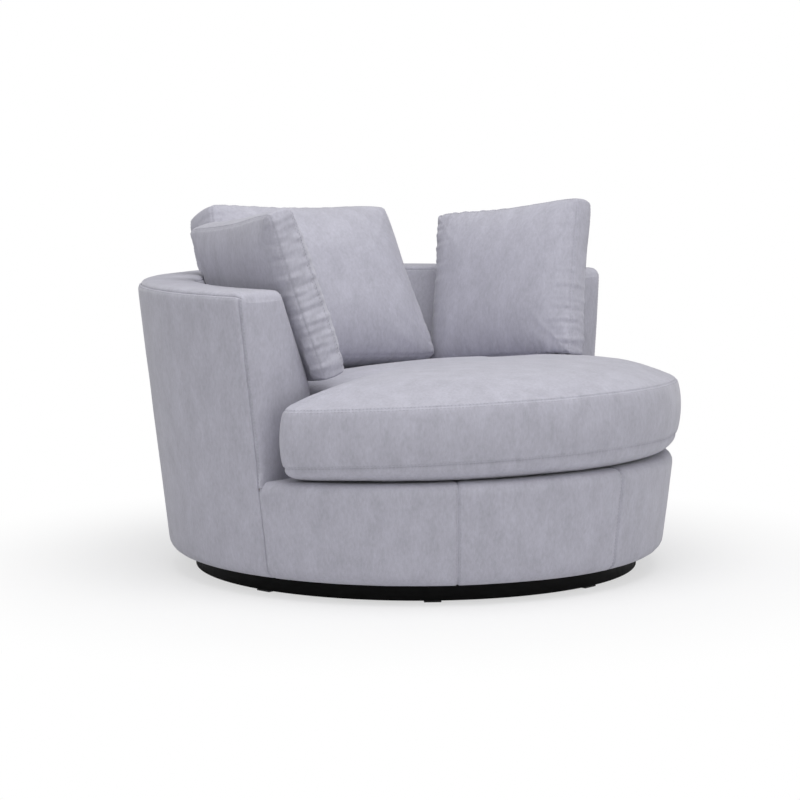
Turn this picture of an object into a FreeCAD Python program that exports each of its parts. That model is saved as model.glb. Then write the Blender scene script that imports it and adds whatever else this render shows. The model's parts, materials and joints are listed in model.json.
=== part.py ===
import FreeCAD, Part
import math
import os

import Sketcher

# Swivel cuddle chair, in millimetres and degrees.
# The origin is on the floor at the swivel axis, +Z is up and the chair faces -Y.

Vector = FreeCAD.Vector
Rotation = FreeCAD.Rotation
ORIGIN = Vector(0, 0, 0)
UP = Vector(0, 0, 1)
ACROSS = Vector(1, 0, 0)
FAR = 1500.0

doc = FreeCAD.newDocument("cuddle_chair")
sheet = doc.addObject("Spreadsheet::Sheet", "Sizes")

# Driving dimensions, each a plain number in one named cell.
DIMENSIONS = [
    # Tub shell
    ("rim_radius", 625),
    ("rim_height", 644),
    ("wall_lean", 6.57),
    ("skirt_height", 41),
    ("skirt_round", 30),
    ("edge_round", 22),
    ("rim_width", 133),
    ("inner_lean", 21.35),
    ("knee_height", 430),
    ("knee_round", 150),
    ("arm_setback", 60),
    ("arm_rake", 1.72),
    ("seam_drop", 8),
    ("cover_thickness", 6),
    ("rail_height", 246),
    ("rail_pitch", 1.85),
    ("rail_width", 105),
    ("front_seam_angle", 40),
    ("turn_under", 20),
    # Tub frame
    ("plywood", 18),
    ("liner_thickness", 3),
    ("wall_foam", 30),
    ("arm_foam", 15),
    ("rim_foam", 26),
    ("seat_ring_height", 194),
    ("seat_ring_width", 212),
    ("upright_depth", 78),
    ("upright_count", 12),
    ("rib_count", 8),
    ("rib_start_angle", 14),
    ("rib_clearance", 2.5),
    ("panel_hole", 60),
    ("fit_gap", 0.4),
    ("web_width", 68),
    ("web_thickness", 1.5),
    ("web_pitch", 108),
    ("web_count", 7),
    ("web_landing", 45),
    ("dust_cloth", 1),
    ("dust_hole", 225),
    # Plinth
    ("plinth_setback", 56.5),
    ("plinth_wall", 18),
    ("plinth_gap", 3),
    ("plinth_board_top", 26),
    ("glide_height", 4),
    ("glide_width", 12),
    ("glide_length", 36),
    ("glide_count", 8),
    ("foot_radius", 32),
    # Turntable
    ("plate_side", 305),
    ("plate_thickness", 2.5),
    ("post_radius", 12),
    ("post_gap", 0.5),
    ("post_nut", 22),
    ("post_nut_height", 8),
    ("block_ring", 105),
    ("block_side", 26),
    ("block_count", 8),
    ("slide_gap", 0.1),
    ("screw_diameter", 8),
    ("screw_head", 15),
    ("screw_head_height", 3.5),
    ("screw_spacing", 265),
    ("screw_length", 16),
    # Seat cushion
    ("seat_overhang", 7),
    ("seat_rear_gap", 17.3),
    ("seat_ear_line", 108),
    ("seat_ear_round", 40),
    ("seat_notch_round", 18),
    ("seat_pitch", 3.43),
    ("seat_bottom_seam", 274),
    ("seat_border", 120),
    ("seat_border_bulge", 8),
    ("seat_crown", 57),
    ("seat_underfill", 4),
    ("seat_core_depth", 100),
    ("seat_core_lift", 8),
    ("rest_gap", 0.3),
    # Loose cushions
    ("wall_clearance", 1),
    ("cushion_draw", 12),
    ("back_side_room", 212),
    ("back_depth", 398),
    ("back_border", 92),
    ("back_crown", 52),
    ("scatter_width", 430),
    ("scatter_depth", 380),
    ("scatter_border", 56),
    ("scatter_crown", 42),
    ("cushion_fabric", 12),
    ("nestle_depth", 14),
    ("back_setback", 160),
    ("back_shift", -8),
    ("back_rise", 151),
    ("back_yaw", -8),
    ("back_tilt", 24.5),
    ("back_roll", -1.7),
    ("left_setback", 120),
    ("left_place", 110),
    ("left_rise", 161),
    ("left_yaw", 72),
    ("left_tilt", 17),
    ("left_roll", -7),
    ("right_setback", 128),
    ("right_place", 25),
    ("right_rise", 161),
    ("right_yaw", -89),
    ("right_tilt", 14),
    ("right_roll", 7),
]

# Sizes worked out from the driving ones, so that what fits follows what it fits in.
DERIVED = [
    ("rim_inner", "rim_radius - rim_width"),
    ("knee_radius", "rim_inner - (rim_height - knee_height) * tan(inner_lean)"),
    ("skirt_radius", "rim_radius - (rim_height - skirt_height) * tan(wall_lean)"),
    ("rail_radius", "rim_radius - (rim_height - rail_height) * tan(wall_lean)"),
    ("panel_bottom", "skirt_height + cover_thickness"),
    ("panel_top", "panel_bottom + plywood"),
    ("panel_radius", "skirt_radius - cover_thickness - skirt_round"),
    ("outer_build", "(cover_thickness + liner_thickness) / cos(wall_lean) + fit_gap"),
    ("inner_build", "cover_thickness + wall_foam + liner_thickness"),
    ("seat_ring_top", "seat_ring_height + plywood"),
    ("seat_ring_outer",
     "rim_radius - (rim_height - seat_ring_height) * tan(wall_lean) - outer_build"),
    ("seat_ring_inner", "seat_ring_outer - seat_ring_width"),
    ("upright_inner", "seat_ring_outer - upright_depth"),
    ("upright_step", "panel_top + skirt_round"),
    ("upright_outer",
     "rim_radius - (rim_height - upright_step) * tan(wall_lean) - outer_build"),
    ("rail_bottom", "rim_height - cover_thickness - rim_foam - plywood"),
    ("rail_top", "rail_bottom + plywood"),
    ("rib_outer_foot",
     "rim_radius - (rim_height - seat_ring_top) * tan(wall_lean) - outer_build - rib_clearance"),
    ("rib_outer_top",
     "rim_radius - (rim_height - rail_bottom) * tan(wall_lean) - outer_build - rib_clearance"),
    ("rib_inner_foot", "knee_radius + inner_build + rib_clearance"),
    ("rib_inner_top",
     "rim_inner - (rim_height - rail_bottom) * tan(inner_lean) + inner_build / cos(inner_lean)"
     " + rib_clearance"),
    ("rib_knee", "rail_bottom - (rib_inner_top - rib_inner_foot) / tan(inner_lean)"),
    ("rail_inner",
     "rim_inner - (rim_height - rail_top) * tan(inner_lean) + inner_build / cos(inner_lean)"
     " + rib_clearance"),
    ("rail_end", "arm_setback - cover_thickness - arm_foam"),
    ("plinth_radius", "skirt_radius - plinth_setback"),
    ("plinth_top", "skirt_height - plinth_gap"),
    ("plinth_height", "plinth_top - glide_height"),
    ("plinth_inner", "plinth_radius - plinth_wall"),
    ("board_radius", "plinth_inner - fit_gap / 2"),
    ("board_bottom", "plinth_board_top - plywood"),
    ("glide_near", "plinth_radius - plinth_wall / 2 - glide_width / 2"),
    ("glide_far", "plinth_radius - plinth_wall / 2 + glide_width / 2"),
    ("half_glide", "glide_length / 2"),
    ("lower_plate_top", "plinth_board_top + plate_thickness"),
    ("upper_plate_bottom", "panel_bottom - plate_thickness"),
    ("block_height", "upper_plate_bottom - slide_gap - lower_plate_top"),
    ("block_near", "block_ring - block_side / 2"),
    ("block_far", "block_ring + block_side / 2"),
    ("half_block", "block_side / 2"),
    ("post_hole", "post_radius + post_gap"),
    ("nut_bottom", "panel_bottom + slide_gap"),
    ("post_height", "nut_bottom + post_nut_height - plinth_board_top"),
    ("half_plate", "plate_side / 2"),
    ("half_spacing", "screw_spacing / 2"),
    ("screw_radius", "screw_diameter / 2"),
    ("screw_head_radius", "screw_head / 2"),
    ("lower_screw_bottom", "lower_plate_top - screw_length"),
    ("upper_head_bottom", "upper_plate_bottom - screw_head_height"),
    ("web_reach", "seat_ring_inner + web_landing"),
    ("web_top", "seat_ring_top + 2 * web_thickness"),
    ("deck_front_radius", "rail_radius - rail_width"),
    ("deck_back_radius", "knee_radius - fit_gap"),
    ("turn_radius", "panel_radius - turn_under"),
    ("seat_front_radius", "rail_radius + seat_overhang"),
    ("seat_rear_radius", "knee_radius - seat_rear_gap"),
    ("seat_crest", "seat_bottom_seam + seat_border + seat_crown"),
    ("back_width", "2 * (rim_inner - back_side_room)"),
    ("back_y", "rim_inner - back_setback"),
    ("back_z", "seat_crest + back_rise"),
    ("left_x", "left_setback - rim_inner"),
    ("left_z", "seat_crest + left_rise"),
    ("right_x", "rim_inner - right_setback"),
    ("right_z", "seat_crest + right_rise"),
]

row = 0
for alias, number in DIMENSIONS:
    row += 1
    sheet.set("A%d" % row, str(number))
    sheet.setAlias("A%d" % row, alias)
doc.recompute()
for alias, formula in DERIVED:
    row += 1
    sheet.set("A%d" % row, "=" + formula)
    sheet.setAlias("A%d" % row, alias)
doc.recompute()


def size(alias):
    """The number in a cell; a leading minus sign turns it round."""
    if alias.startswith("-"):
        return -size(alias[1:])
    if alias == "0":
        return 0.0
    return float(sheet.get(alias))


def cell(alias):
    """The expression that binds a property to a cell."""
    if alias.startswith("-"):
        return "-Sizes." + alias[1:]
    return "Sizes." + alias


PARTS = []


# Bodies drawn as sketches and features
def new_body(name):
    body = doc.addObject("PartDesign::Body", name)
    body.Label = name
    body.AllowCompound = True
    PARTS.append(body)
    return body


def datum(body, role):
    return [item for item in body.Origin.OriginFeatures if item.Role == role][0]


def new_sketch(body, name, role="XY_Plane", height=None):
    sketch = body.newObject("Sketcher::SketchObject", body.Name + "_" + name)
    sketch.AttachmentSupport = [(datum(body, role), "")]
    sketch.MapMode = "FlatFace"
    if height:
        sketch.setExpression("AttachmentOffset.Base.z", cell(height))
    return sketch


def tie(sketch, kind, geometry, point, alias):
    """One distance from the sketch's origin, bound to a cell."""
    if alias == "0":
        axis = -2 if kind == "DistanceX" else -1
        sketch.addConstraint(Sketcher.Constraint("PointOnObject", geometry, point, axis))
        return
    index = sketch.addConstraint(Sketcher.Constraint(kind, geometry, point, size(alias)))
    sketch.setExpression("Constraints[%d]" % index, cell(alias))


def draw_circle(sketch, radius, centre=("0", "0")):
    middle = Vector(size(centre[0]), size(centre[1]), 0)
    circle = sketch.addGeometry(Part.Circle(middle, UP, size(radius)), False)
    tie(sketch, "DistanceX", circle, 3, centre[0])
    tie(sketch, "DistanceY", circle, 3, centre[1])
    index = sketch.addConstraint(Sketcher.Constraint("Radius", circle, size(radius)))
    sketch.setExpression("Constraints[%d]" % index, cell(radius))


def draw_polygon(sketch, corners):
    spots = [Vector(size(x), size(y), 0) for x, y in corners]
    count = len(spots)
    lines = []
    for index in range(count):
        line = Part.LineSegment(spots[index], spots[(index + 1) % count])
        lines.append(sketch.addGeometry(line, False))
    for index in range(count):
        following = lines[(index + 1) % count]
        sketch.addConstraint(Sketcher.Constraint("Coincident", lines[index], 2, following, 1))
    for line, (x, y) in zip(lines, corners):
        tie(sketch, "DistanceX", line, 1, x)
        tie(sketch, "DistanceY", line, 1, y)


def pad(body, sketch, length, both_ways=False):
    feature = body.newObject("PartDesign::Pad", sketch.Name + "_pad")
    feature.Profile = sketch
    feature.setExpression("Length", cell(length))
    feature.Midplane = both_ways
    body.Tip = feature
    return feature


def pocket(body, sketch, length, away=False):
    feature = body.newObject("PartDesign::Pocket", sketch.Name + "_pocket")
    feature.Profile = sketch
    feature.setExpression("Length", cell(length))
    feature.Reversed = away
    body.Tip = feature
    return feature


def ring_of(body, feature, count, angle=360):
    """Copies of one feature round the swivel axis."""
    doc.recompute()
    pattern = body.newObject("PartDesign::PolarPattern", feature.Name + "_ring")
    pattern.Originals = [feature]
    pattern.Axis = (datum(body, "Z_Axis"), [""])
    pattern.Angle = angle
    pattern.setExpression("Occurrences", cell(count))
    body.Tip = pattern
    return pattern


def must_shrink(body, before):
    """A cut has to take something away."""
    doc.recompute()
    if body.Shape.Volume >= before - 1:
        raise RuntimeError(body.Label + " wasn't cut")


def cut_round(body, name, radius, spots, bottom, depth):
    """Round holes through a plate, from its underside up."""
    doc.recompute()
    before = body.Shape.Volume
    sketch = new_sketch(body, name, height=bottom)
    for centre in spots:
        draw_circle(sketch, radius, centre)
    pocket(body, sketch, depth, away=True)
    must_shrink(body, before)


def disc(name, radius, bottom, thickness):
    body = new_body(name)
    sketch = new_sketch(body, "disc", height=bottom)
    draw_circle(sketch, radius)
    pad(body, sketch, thickness)
    return body


def hoop(name, outer, inner, bottom, thickness):
    body = new_body(name)
    sketch = new_sketch(body, "hoop", height=bottom)
    draw_circle(sketch, outer)
    draw_circle(sketch, inner)
    pad(body, sketch, thickness)
    return body


SCREW_SPOTS = [
    (x, y) for x in ("half_spacing", "-half_spacing") for y in ("half_spacing", "-half_spacing")
]


def draw_hexagon(sketch, radius, centre):
    middle = Vector(size(centre[0]), size(centre[1]), 0)
    corners = []
    for step in range(6):
        corners.append(middle + Rotation(UP, 60 * step).multVec(ACROSS * size(radius)))
    for start, end in zip(corners, corners[1:] + corners[:1]):
        sketch.addGeometry(Part.LineSegment(start, end), False)


def square_plate(name, bottom):
    """A pressed turntable plate with its corner holes."""
    body = new_body(name)
    sketch = new_sketch(body, "plate", height=bottom)
    corners = [("half_plate", "half_plate"), ("-half_plate", "half_plate"),
               ("-half_plate", "-half_plate"), ("half_plate", "-half_plate")]
    draw_polygon(sketch, corners)
    pad(body, sketch, "plate_thickness")
    doc.recompute()
    before = body.Shape.Volume
    holes = new_sketch(body, "corner_holes", height=bottom)
    for spot in SCREW_SPOTS:
        draw_hexagon(holes, "screw_radius", spot)
    pocket(body, holes, "plate_thickness", away=True)
    must_shrink(body, before)
    return body


def four_screws(name, head_bottom, shank_bottom):
    """Screws with hexagon heads through the corner holes of a plate."""
    body = new_body(name)
    head = new_sketch(body, "head", height=head_bottom)
    shank = new_sketch(body, "shank", height=shank_bottom)
    for spot in SCREW_SPOTS:
        draw_hexagon(head, "screw_head_radius", spot)
        draw_hexagon(shank, "screw_radius", spot)
    pad(body, head, "screw_head_height")
    pad(body, shank, "screw_length")
    return body


def ring_of_blocks(name, near, far, half, bottom, height, count):
    """Rectangular blocks standing in a ring."""
    body = new_body(name)
    sketch = new_sketch(body, "block", height=bottom)
    draw_polygon(sketch, [(near, "-" + half), (far, "-" + half), (far, half), (near, half)])
    ring_of(body, pad(body, sketch, height), count)
    return body


def add_shape(name, shape):
    """A sub-part whose form is worked out by the functions below."""
    feature = doc.addObject("Part::Feature", name)
    feature.Label = name
    feature.Shape = shape
    PARTS.append(feature)
    return feature


# Plinth
ring_of_blocks("floor_glides", "glide_near", "glide_far", "half_glide",
               None, "glide_height", "glide_count")

disc("centre_foot", "foot_radius", None, "board_bottom")

hoop("plinth_hoop", "plinth_radius", "plinth_inner", "glide_height", "plinth_height")

disc("plinth_board", "board_radius", "board_bottom", "plywood")

# Turntable
lower_plate = square_plate("turntable_lower_plate", "plinth_board_top")
post = new_sketch(lower_plate, "post", height="plinth_board_top")
draw_circle(post, "post_radius")
pad(lower_plate, post, "post_height")

ring_of_blocks("turntable_slide_blocks", "block_near", "block_far", "half_block",
               "lower_plate_top", "block_height", "block_count")

upper_plate = square_plate("turntable_upper_plate", "upper_plate_bottom")
cut_round(upper_plate, "post_hole", "post_hole", [("0", "0")], "upper_plate_bottom",
          "plate_thickness")

nut = new_body("turntable_post_nut")
nut_sketch = new_sketch(nut, "nut", height="nut_bottom")
draw_hexagon(nut_sketch, "post_nut", ("0", "0"))
draw_circle(nut_sketch, "post_radius")
pad(nut, nut_sketch, "post_nut_height")

four_screws("lower_plate_screws", "lower_plate_top", "lower_screw_bottom")
four_screws("upper_plate_screws", "upper_head_bottom", "upper_plate_bottom")

# Tub frame of plywood
panel = disc("base_panel", "panel_radius", "panel_bottom", "plywood")
cut_round(panel, "hand_hole", "panel_hole", [("0", "0")], "panel_bottom", "plywood")

hoop("seat_ring", "seat_ring_outer", "seat_ring_inner", "seat_ring_height", "plywood")

uprights = new_body("front_and_side_uprights")
upright_sketch = new_sketch(uprights, "upright", "XZ_Plane")
draw_polygon(upright_sketch, [
    ("upright_inner", "panel_top"), ("panel_radius", "panel_top"),
    ("upright_outer", "upright_step"), ("seat_ring_outer", "seat_ring_height"),
    ("upright_inner", "seat_ring_height")])
ring_of(uprights, pad(uprights, upright_sketch, "plywood", both_ways=True), "upright_count")

ribs = new_body("wall_ribs")
rib_sketch = new_sketch(ribs, "rib", "XZ_Plane")
draw_polygon(rib_sketch, [
    ("rib_inner_foot", "seat_ring_top"), ("rib_outer_foot", "seat_ring_top"),
    ("rib_outer_top", "rail_bottom"), ("rib_inner_top", "rail_bottom"),
    ("rib_inner_foot", "rib_knee")])
rib_span = 180 - 2 * size("rib_start_angle")
ring_of(ribs, pad(ribs, rib_sketch, "plywood", both_ways=True), "rib_count", rib_span)
ribs.Placement = FreeCAD.Placement(ORIGIN, Rotation(UP, size("rib_start_angle")))


# Upholstery forms
def outer_radius(height):
    rise = size("rim_height") - height
    return size("rim_radius") - rise * math.tan(math.radians(size("wall_lean")))


def inner_radius(height):
    drop = size("rim_height") - height
    return size("rim_inner") - drop * math.tan(math.radians(size("inner_lean")))


def rounded(corners, rounds):
    """Corners of an outline, each with its own round drawn as short straight facets."""
    spots = [Vector(first, second, 0) for first, second in corners]
    outline = []
    for index, spot in enumerate(spots):
        radius, facets = rounds.get(index, (0, 0))
        if not facets:
            outline.append((spot.x, spot.y))
            continue
        back = (spots[index - 1] - spot).normalize()
        ahead = (spots[(index + 1) % len(spots)] - spot).normalize()
        half = back.getAngle(ahead) / 2
        middle = spot + (back + ahead).normalize() * (radius / math.sin(half))
        start = spot + back * (radius / math.tan(half)) - middle
        end = spot + ahead * (radius / math.tan(half)) - middle
        turn = start.getAngle(end)
        for step in range(facets + 1):
            share = step / facets
            first = start * math.sin((1 - share) * turn)
            second = end * math.sin(share * turn)
            point = middle + (first + second) * (1 / math.sin(turn))
            outline.append((point.x, point.y))
    return outline


def turned(corners):
    """A solid of revolution from corners given as radius and height."""
    points = [Vector(radius, 0, height) for radius, height in corners]
    wire = Part.makePolygon(points + [points[0]])
    return Part.Face(wire).revolve(ORIGIN, UP, 360)


def prism_across(corners):
    """A solid right across the chair from corners given as Y and height."""
    points = [Vector(-FAR, y, height) for y, height in corners]
    wire = Part.makePolygon(points + [points[0]])
    return Part.Face(wire).extrude(ACROSS * 2 * FAR)


def before_arms(inset=0):
    """All that lies in front of the raked plane of the arm fronts."""
    return prism_across([(-FAR, -FAR), (arm_plane(-FAR, inset), -FAR),
                         (arm_plane(FAR, inset), FAR), (-FAR, FAR)])


def column(radius, bottom=-FAR, top=FAR):
    return Part.makeCylinder(radius, top - bottom, Vector(0, 0, bottom))


def slab(bottom, top):
    return column(FAR, bottom, top)


def outer_cone(inset, bottom, top):
    """All that lies inside the outside of the wall, drawn in by an inset."""
    lean = math.cos(math.radians(size("wall_lean")))
    return turned([(0, bottom), (outer_radius(bottom) - inset / lean, bottom),
                   (outer_radius(top) - inset / lean, top), (0, top)])


def outer_band(near, deep, bottom, top):
    """A ring between two depths behind the outside of the wall."""
    return outer_cone(near, bottom, top).cut(outer_cone(deep, bottom - 1, top + 1))


ROUND_FACETS = 2


def bowl(inset, bottom, top):
    """The hollow of the tub, grown by an inset into the wall."""
    lean = math.radians(size("inner_lean"))
    foot = size("knee_radius") + inset
    knee = size("knee_height") - inset * (1 / math.cos(lean) - 1) / math.tan(lean)
    mouth = inner_radius(top) + inset / math.cos(lean)
    corners = [(0, bottom), (foot, bottom), (foot, knee), (mouth, top), (0, top)]
    return turned(corners)


def arm_plane(height, inset):
    """How far forward the raked plane of the arm fronts is at a height."""
    slope = math.tan(math.radians(size("arm_rake")))
    return inset - size("arm_setback") - (size("rim_height") - height) * slope


def shave(start, end, first, second, radius, facets):
    """Blocks that plane off a straight edge between two faces, given their normals."""
    run = (end - start).normalize()
    sunk = start - (first + second) * (radius / (1 + first.dot(second)))
    turn = first.getAngle(second)
    reach = 3 * radius
    length = (end - start).Length
    blocks = []
    for step in range(facets):
        share = (step + 0.5) / facets
        away = first * math.sin((1 - share) * turn) + second * math.sin(share * turn)
        away.normalize()
        across = away.cross(run).normalize()
        corner = sunk + away * radius - across * reach - run * length
        block = Part.makeBox(2 * reach, 3 * length, reach)
        turned_to = Rotation(across, run, away, "ZXY")
        block.Placement = FreeCAD.Placement(corner, turned_to)
        blocks.append(block)
    return blocks


def front_blocks(inset, foam, top_inset, front_inset, radius, facets):
    """What rounds the edges of the two arm fronts."""
    rake = math.radians(size("arm_rake"))
    forward = Vector(0, -math.cos(rake), math.sin(rake))
    foot = size("seat_ring_top")
    top = size("rim_height") - top_inset
    knee = size("knee_height")
    outer_lean = math.radians(size("wall_lean"))
    inner_lean = math.radians(size("inner_lean"))

    def on_front(radius_at, height, mirror):
        y = arm_plane(height, front_inset)
        return Vector(mirror * math.sqrt(radius_at ** 2 - y ** 2), y, height)

    def outside(height):
        return outer_radius(height) - inset / math.cos(outer_lean)

    def inside(height):
        return inner_radius(height) + foam / math.cos(inner_lean)

    def facing(point, lean, outward):
        flat = Vector(point.x, point.y, 0).normalize() * outward
        return flat * math.cos(lean) + UP * (-outward * math.sin(lean))

    blocks = []
    for mirror in (-1, 1):
        low, high = on_front(outside(foot), foot, mirror), on_front(outside(top), top, mirror)
        blocks += shave(low, high, forward, facing(high, outer_lean, 1), radius, facets)
        low, high = on_front(inside(knee), knee, mirror), on_front(inside(top), top, mirror)
        blocks += shave(low, high, forward, facing(high, inner_lean, -1), radius, facets)
        straight = size("knee_radius") + foam
        low, high = on_front(straight, foot, mirror), on_front(straight, knee, mirror)
        blocks += shave(low, high, forward, facing(high, 0, -1), radius, facets)
        start = Vector(mirror * inside(top), arm_plane(top, front_inset), top)
        end = Vector(mirror * outside(top), arm_plane(top, front_inset), top)
        blocks += shave(start, end, forward, UP, radius, facets)
    return blocks


def wall(inset, foam=None, top_inset=None, front_inset=None, facets=1):
    """The horseshoe wall above the seat ring, drawn in from its outside by insets."""
    foam = inset if foam is None else foam
    top_inset = inset if top_inset is None else top_inset
    front_inset = inset if front_inset is None else front_inset
    foot = size("seat_ring_top")
    top = size("rim_height") - top_inset
    radius = size("edge_round") - inset
    lean = math.cos(math.radians(size("wall_lean")))
    inner = math.radians(size("inner_lean"))
    straight = size("knee_radius") + foam
    knee = size("knee_height") - foam * (1 / math.cos(inner) - 1) / math.tan(inner)
    mouth = inner_radius(top) + foam / math.cos(inner)
    corners = [(straight, foot), (outer_radius(foot) - inset / lean, foot),
               (outer_radius(top) - inset / lean, top), (mouth, top), (straight, knee)]
    rounds = {2: (radius, facets)}
    if facets > 1:
        rounds[3] = (radius, facets)
        rounds[4] = (size("knee_round"), facets)
    solid = turned(rounded(corners, rounds)).cut(before_arms(front_inset))
    if facets:
        solid = solid.cut(front_blocks(inset, foam, top_inset, front_inset, radius, facets))
    return solid


def drum(inset, top, facets=1):
    """The round base below the arms, whole, with its skirt rounded."""
    lean = math.cos(math.radians(size("wall_lean")))
    bottom = size("skirt_height") + inset
    corners = [(0, bottom), (outer_radius(bottom) - inset / lean, bottom),
               (outer_radius(top) - inset / lean, top), (0, top)]
    return turned(rounded(corners, {1: (size("skirt_round") - inset, facets)}))


def deck_cap(inset, facets):
    """All that lies under the pitched deck, with the round along the rail's edge."""
    level = size("rail_height")
    radius = size("edge_round") - inset
    reach = outer_radius(level) - inset / math.cos(math.radians(size("wall_lean")))
    deep = size("rail_height")
    arc = rounded([(0, 0), (reach, 0), (reach, -deep)], {1: (radius, facets)})[1:-1]
    start, end = arc[-2], arc[-1]
    flare = (end[0] - start[0]) / (start[1] - end[1])
    outline = [(0, 0)] + arc[:-1] + [(start[0] + flare * deep, start[1] - deep)]
    outline.append((0, outline[-1][1]))
    cap = turned(outline)
    pitch = math.radians(size("rail_pitch"))
    shift = reach * math.tan(pitch) * math.tan(math.radians(size("wall_lean")))
    cap.Placement = FreeCAD.Placement(
        Vector(0, -shift, level - inset), Rotation(ACROSS, -size("rail_pitch")))
    return cap


def sector(start, end):
    """A wedge of plan between two angles, measured from the front towards +X."""
    points = [ORIGIN]
    for angle in (start, (start + end) / 2, end):
        turn = math.radians(angle)
        points.append(Vector(FAR * math.sin(turn), -FAR * math.cos(turn), 0))
    for point in points:
        point.z = -FAR
    wire = Part.makePolygon(points + [points[0]])
    return Part.Face(wire).extrude(UP * 2 * FAR)


def side(direction):
    """Half of space, to +X or to -X."""
    corner = Vector(0 if direction > 0 else -FAR, -FAR, -FAR)
    return Part.makeBox(FAR, 2 * FAR, 2 * FAR, corner)


ring_top = size("seat_ring_top")
thickness = size("cover_thickness")
liner = size("liner_thickness")
foam_depth = thickness + size("wall_foam")
arm_depth = thickness + size("arm_foam")
rail_line = size("rail_top")
panel_top = size("panel_top")
seam_level = size("rim_height") - size("seam_drop")

wall_outside = wall(0, facets=ROUND_FACETS)
wall_cavity = wall(thickness)
wall_skin = wall_outside.cut(wall_cavity)
behind_front = before_arms(size("seam_drop"))
arm_seam = 90 + math.degrees(math.asin(arm_plane(size("rail_height"), 0) / size("rail_radius")))
base_front = sector(-arm_seam, arm_seam)

# Fitted covers of the wall
outer_zone = outer_band(-5, size("edge_round"), ring_top - 1, seam_level).cut(behind_front)
outer_upper = wall_skin.common(outer_zone)
base_skin = drum(0, ring_top, ROUND_FACETS).cut(drum(thickness, ring_top + 1))
outer_lower = base_skin.cut(base_front).cut(column(size("turn_radius")))
outer_cover = outer_upper.fuse(outer_lower).removeSplitter()
add_shape("outer_cover_left", outer_cover.common(side(-1)))
add_shape("outer_cover_right", outer_cover.common(side(1)))

inner_zone = bowl(size("edge_round"), ring_top - 1, seam_level).cut(behind_front)
add_shape("inner_wall_cover", wall_skin.common(inner_zone))
add_shape("rim_and_arm_band", wall_skin.cut(outer_zone).cut(inner_zone))

# Foam and liners under the covers of the wall
pad_zone = before_arms(arm_depth)
under_rail = slab(-FAR, rail_line)
add_shape("rim_pad", wall_cavity.cut(under_rail))
arm_pads = wall_cavity.common(pad_zone).common(under_rail)
add_shape("left_arm_pad", arm_pads.common(side(-1)))
add_shape("right_arm_pad", arm_pads.common(side(1)))
wall_body = wall_cavity.cut(pad_zone).common(under_rail)
add_shape("inner_wall_pad", wall_body.common(bowl(foam_depth, ring_top - 1, rail_line + 1)))
liner_front = math.degrees(math.asin((size("arm_setback") - arm_depth) / size("rim_radius")))
before_liners = sector(liner_front - 90, 90 - liner_front)
lined = bowl(foam_depth + liner, ring_top, rail_line)
lined = lined.cut(bowl(foam_depth, ring_top - 1, rail_line + 1))
add_shape("inner_liner", lined.cut(before_liners))
liner_band = outer_band(thickness, thickness + liner, panel_top + size("skirt_round"), rail_line)
add_shape("back_liner", liner_band.cut(before_liners))
add_shape("front_liner", liner_band.common(slab(-FAR, ring_top)).common(base_front))

# Plywood pieces shaped by the wall
boards = wall(
    thickness + liner + size("fit_gap"),
    foam=foam_depth + liner + size("fit_gap"),
    top_inset=size("rim_height") - size("rail_bottom"),
    front_inset=arm_depth,
    facets=0)
boards = boards.common(before_arms(arm_depth + size("plywood")))
add_shape("left_arm_board", boards.common(side(-1)))
add_shape("right_arm_board", boards.common(side(1)))

top_rail = new_body("top_rail")
rail_sketch = new_sketch(top_rail, "horseshoe", height="rail_bottom")
draw_circle(rail_sketch, "rib_outer_top")
draw_circle(rail_sketch, "rail_inner")
pad(top_rail, rail_sketch, "plywood")
doc.recompute()
rail_volume = top_rail.Shape.Volume
front_sketch = new_sketch(top_rail, "front", height="rail_bottom")
draw_polygon(front_sketch, [
    ("-rim_radius", "-rail_end"), ("-rim_radius", "-rim_radius"),
    ("rim_radius", "-rim_radius"), ("rim_radius", "-rail_end")])
pocket(top_rail, front_sketch, "plywood", away=True)
must_shrink(top_rail, rail_volume)

# Covers of the base and the deck
front_outside = drum(0, size("knee_height"), ROUND_FACETS).common(deck_cap(0, ROUND_FACETS))
front_cavity = drum(thickness, size("knee_height")).common(deck_cap(thickness, 1))
front_skin = front_outside.cut(front_cavity)
deck_front = column(size("deck_front_radius"))
deck_back = column(size("deck_back_radius"), size("skirt_height") * 2, FAR)
front_only = before_arms(0)
rail_skin = front_skin.cut(slab(ring_top, FAR).cut(front_only))
rail_skin = rail_skin.cut(deck_front.common(slab(ring_top - 1, FAR)))
rail_skin = rail_skin.cut(column(size("turn_radius")))
seam = size("front_seam_angle")
PANELS = [
    ("front_panel_far_left", -arm_seam, -seam),
    ("front_panel_left", -seam, 0),
    ("front_panel_right", 0, seam),
    ("front_panel_far_right", seam, arm_seam),
]
for name, start, end in PANELS:
    add_shape(name, rail_skin.common(sector(start, end)))

deck_zone = deck_front.common(front_only).fuse(deck_back).common(slab(ring_top, FAR))
add_shape("deck_cloth", front_skin.common(deck_zone))
add_shape("deck_pad", front_cavity.common(deck_zone).common(slab(size("web_top"), FAR)))
front_rail = front_cavity.common(front_only).cut(deck_front).common(slab(ring_top, FAR))
add_shape("front_rail_pad", front_rail)

dust = column(size("turn_radius") - size("fit_gap"),
              size("panel_bottom") - size("dust_cloth"), size("panel_bottom"))
add_shape("dust_cover", dust.cut(column(size("dust_hole"))))


# Elastic webbing under the deck, in two crossing layers
def straps(bottom, lengthwise):
    reach = size("web_reach")
    field = column(reach, bottom, bottom + size("web_thickness"))
    pieces = []
    for index in range(int(size("web_count"))):
        offset = (index - (size("web_count") - 1) / 2) * size("web_pitch")
        corner = Vector(offset - size("web_width") / 2, -reach, bottom)
        strap = Part.makeBox(size("web_width"), 2 * reach, size("web_thickness"), corner)
        if not lengthwise:
            strap.rotate(ORIGIN, UP, 90)
        pieces.append(strap.common(field).Solids[0])
    return Part.makeCompound(pieces)


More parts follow.
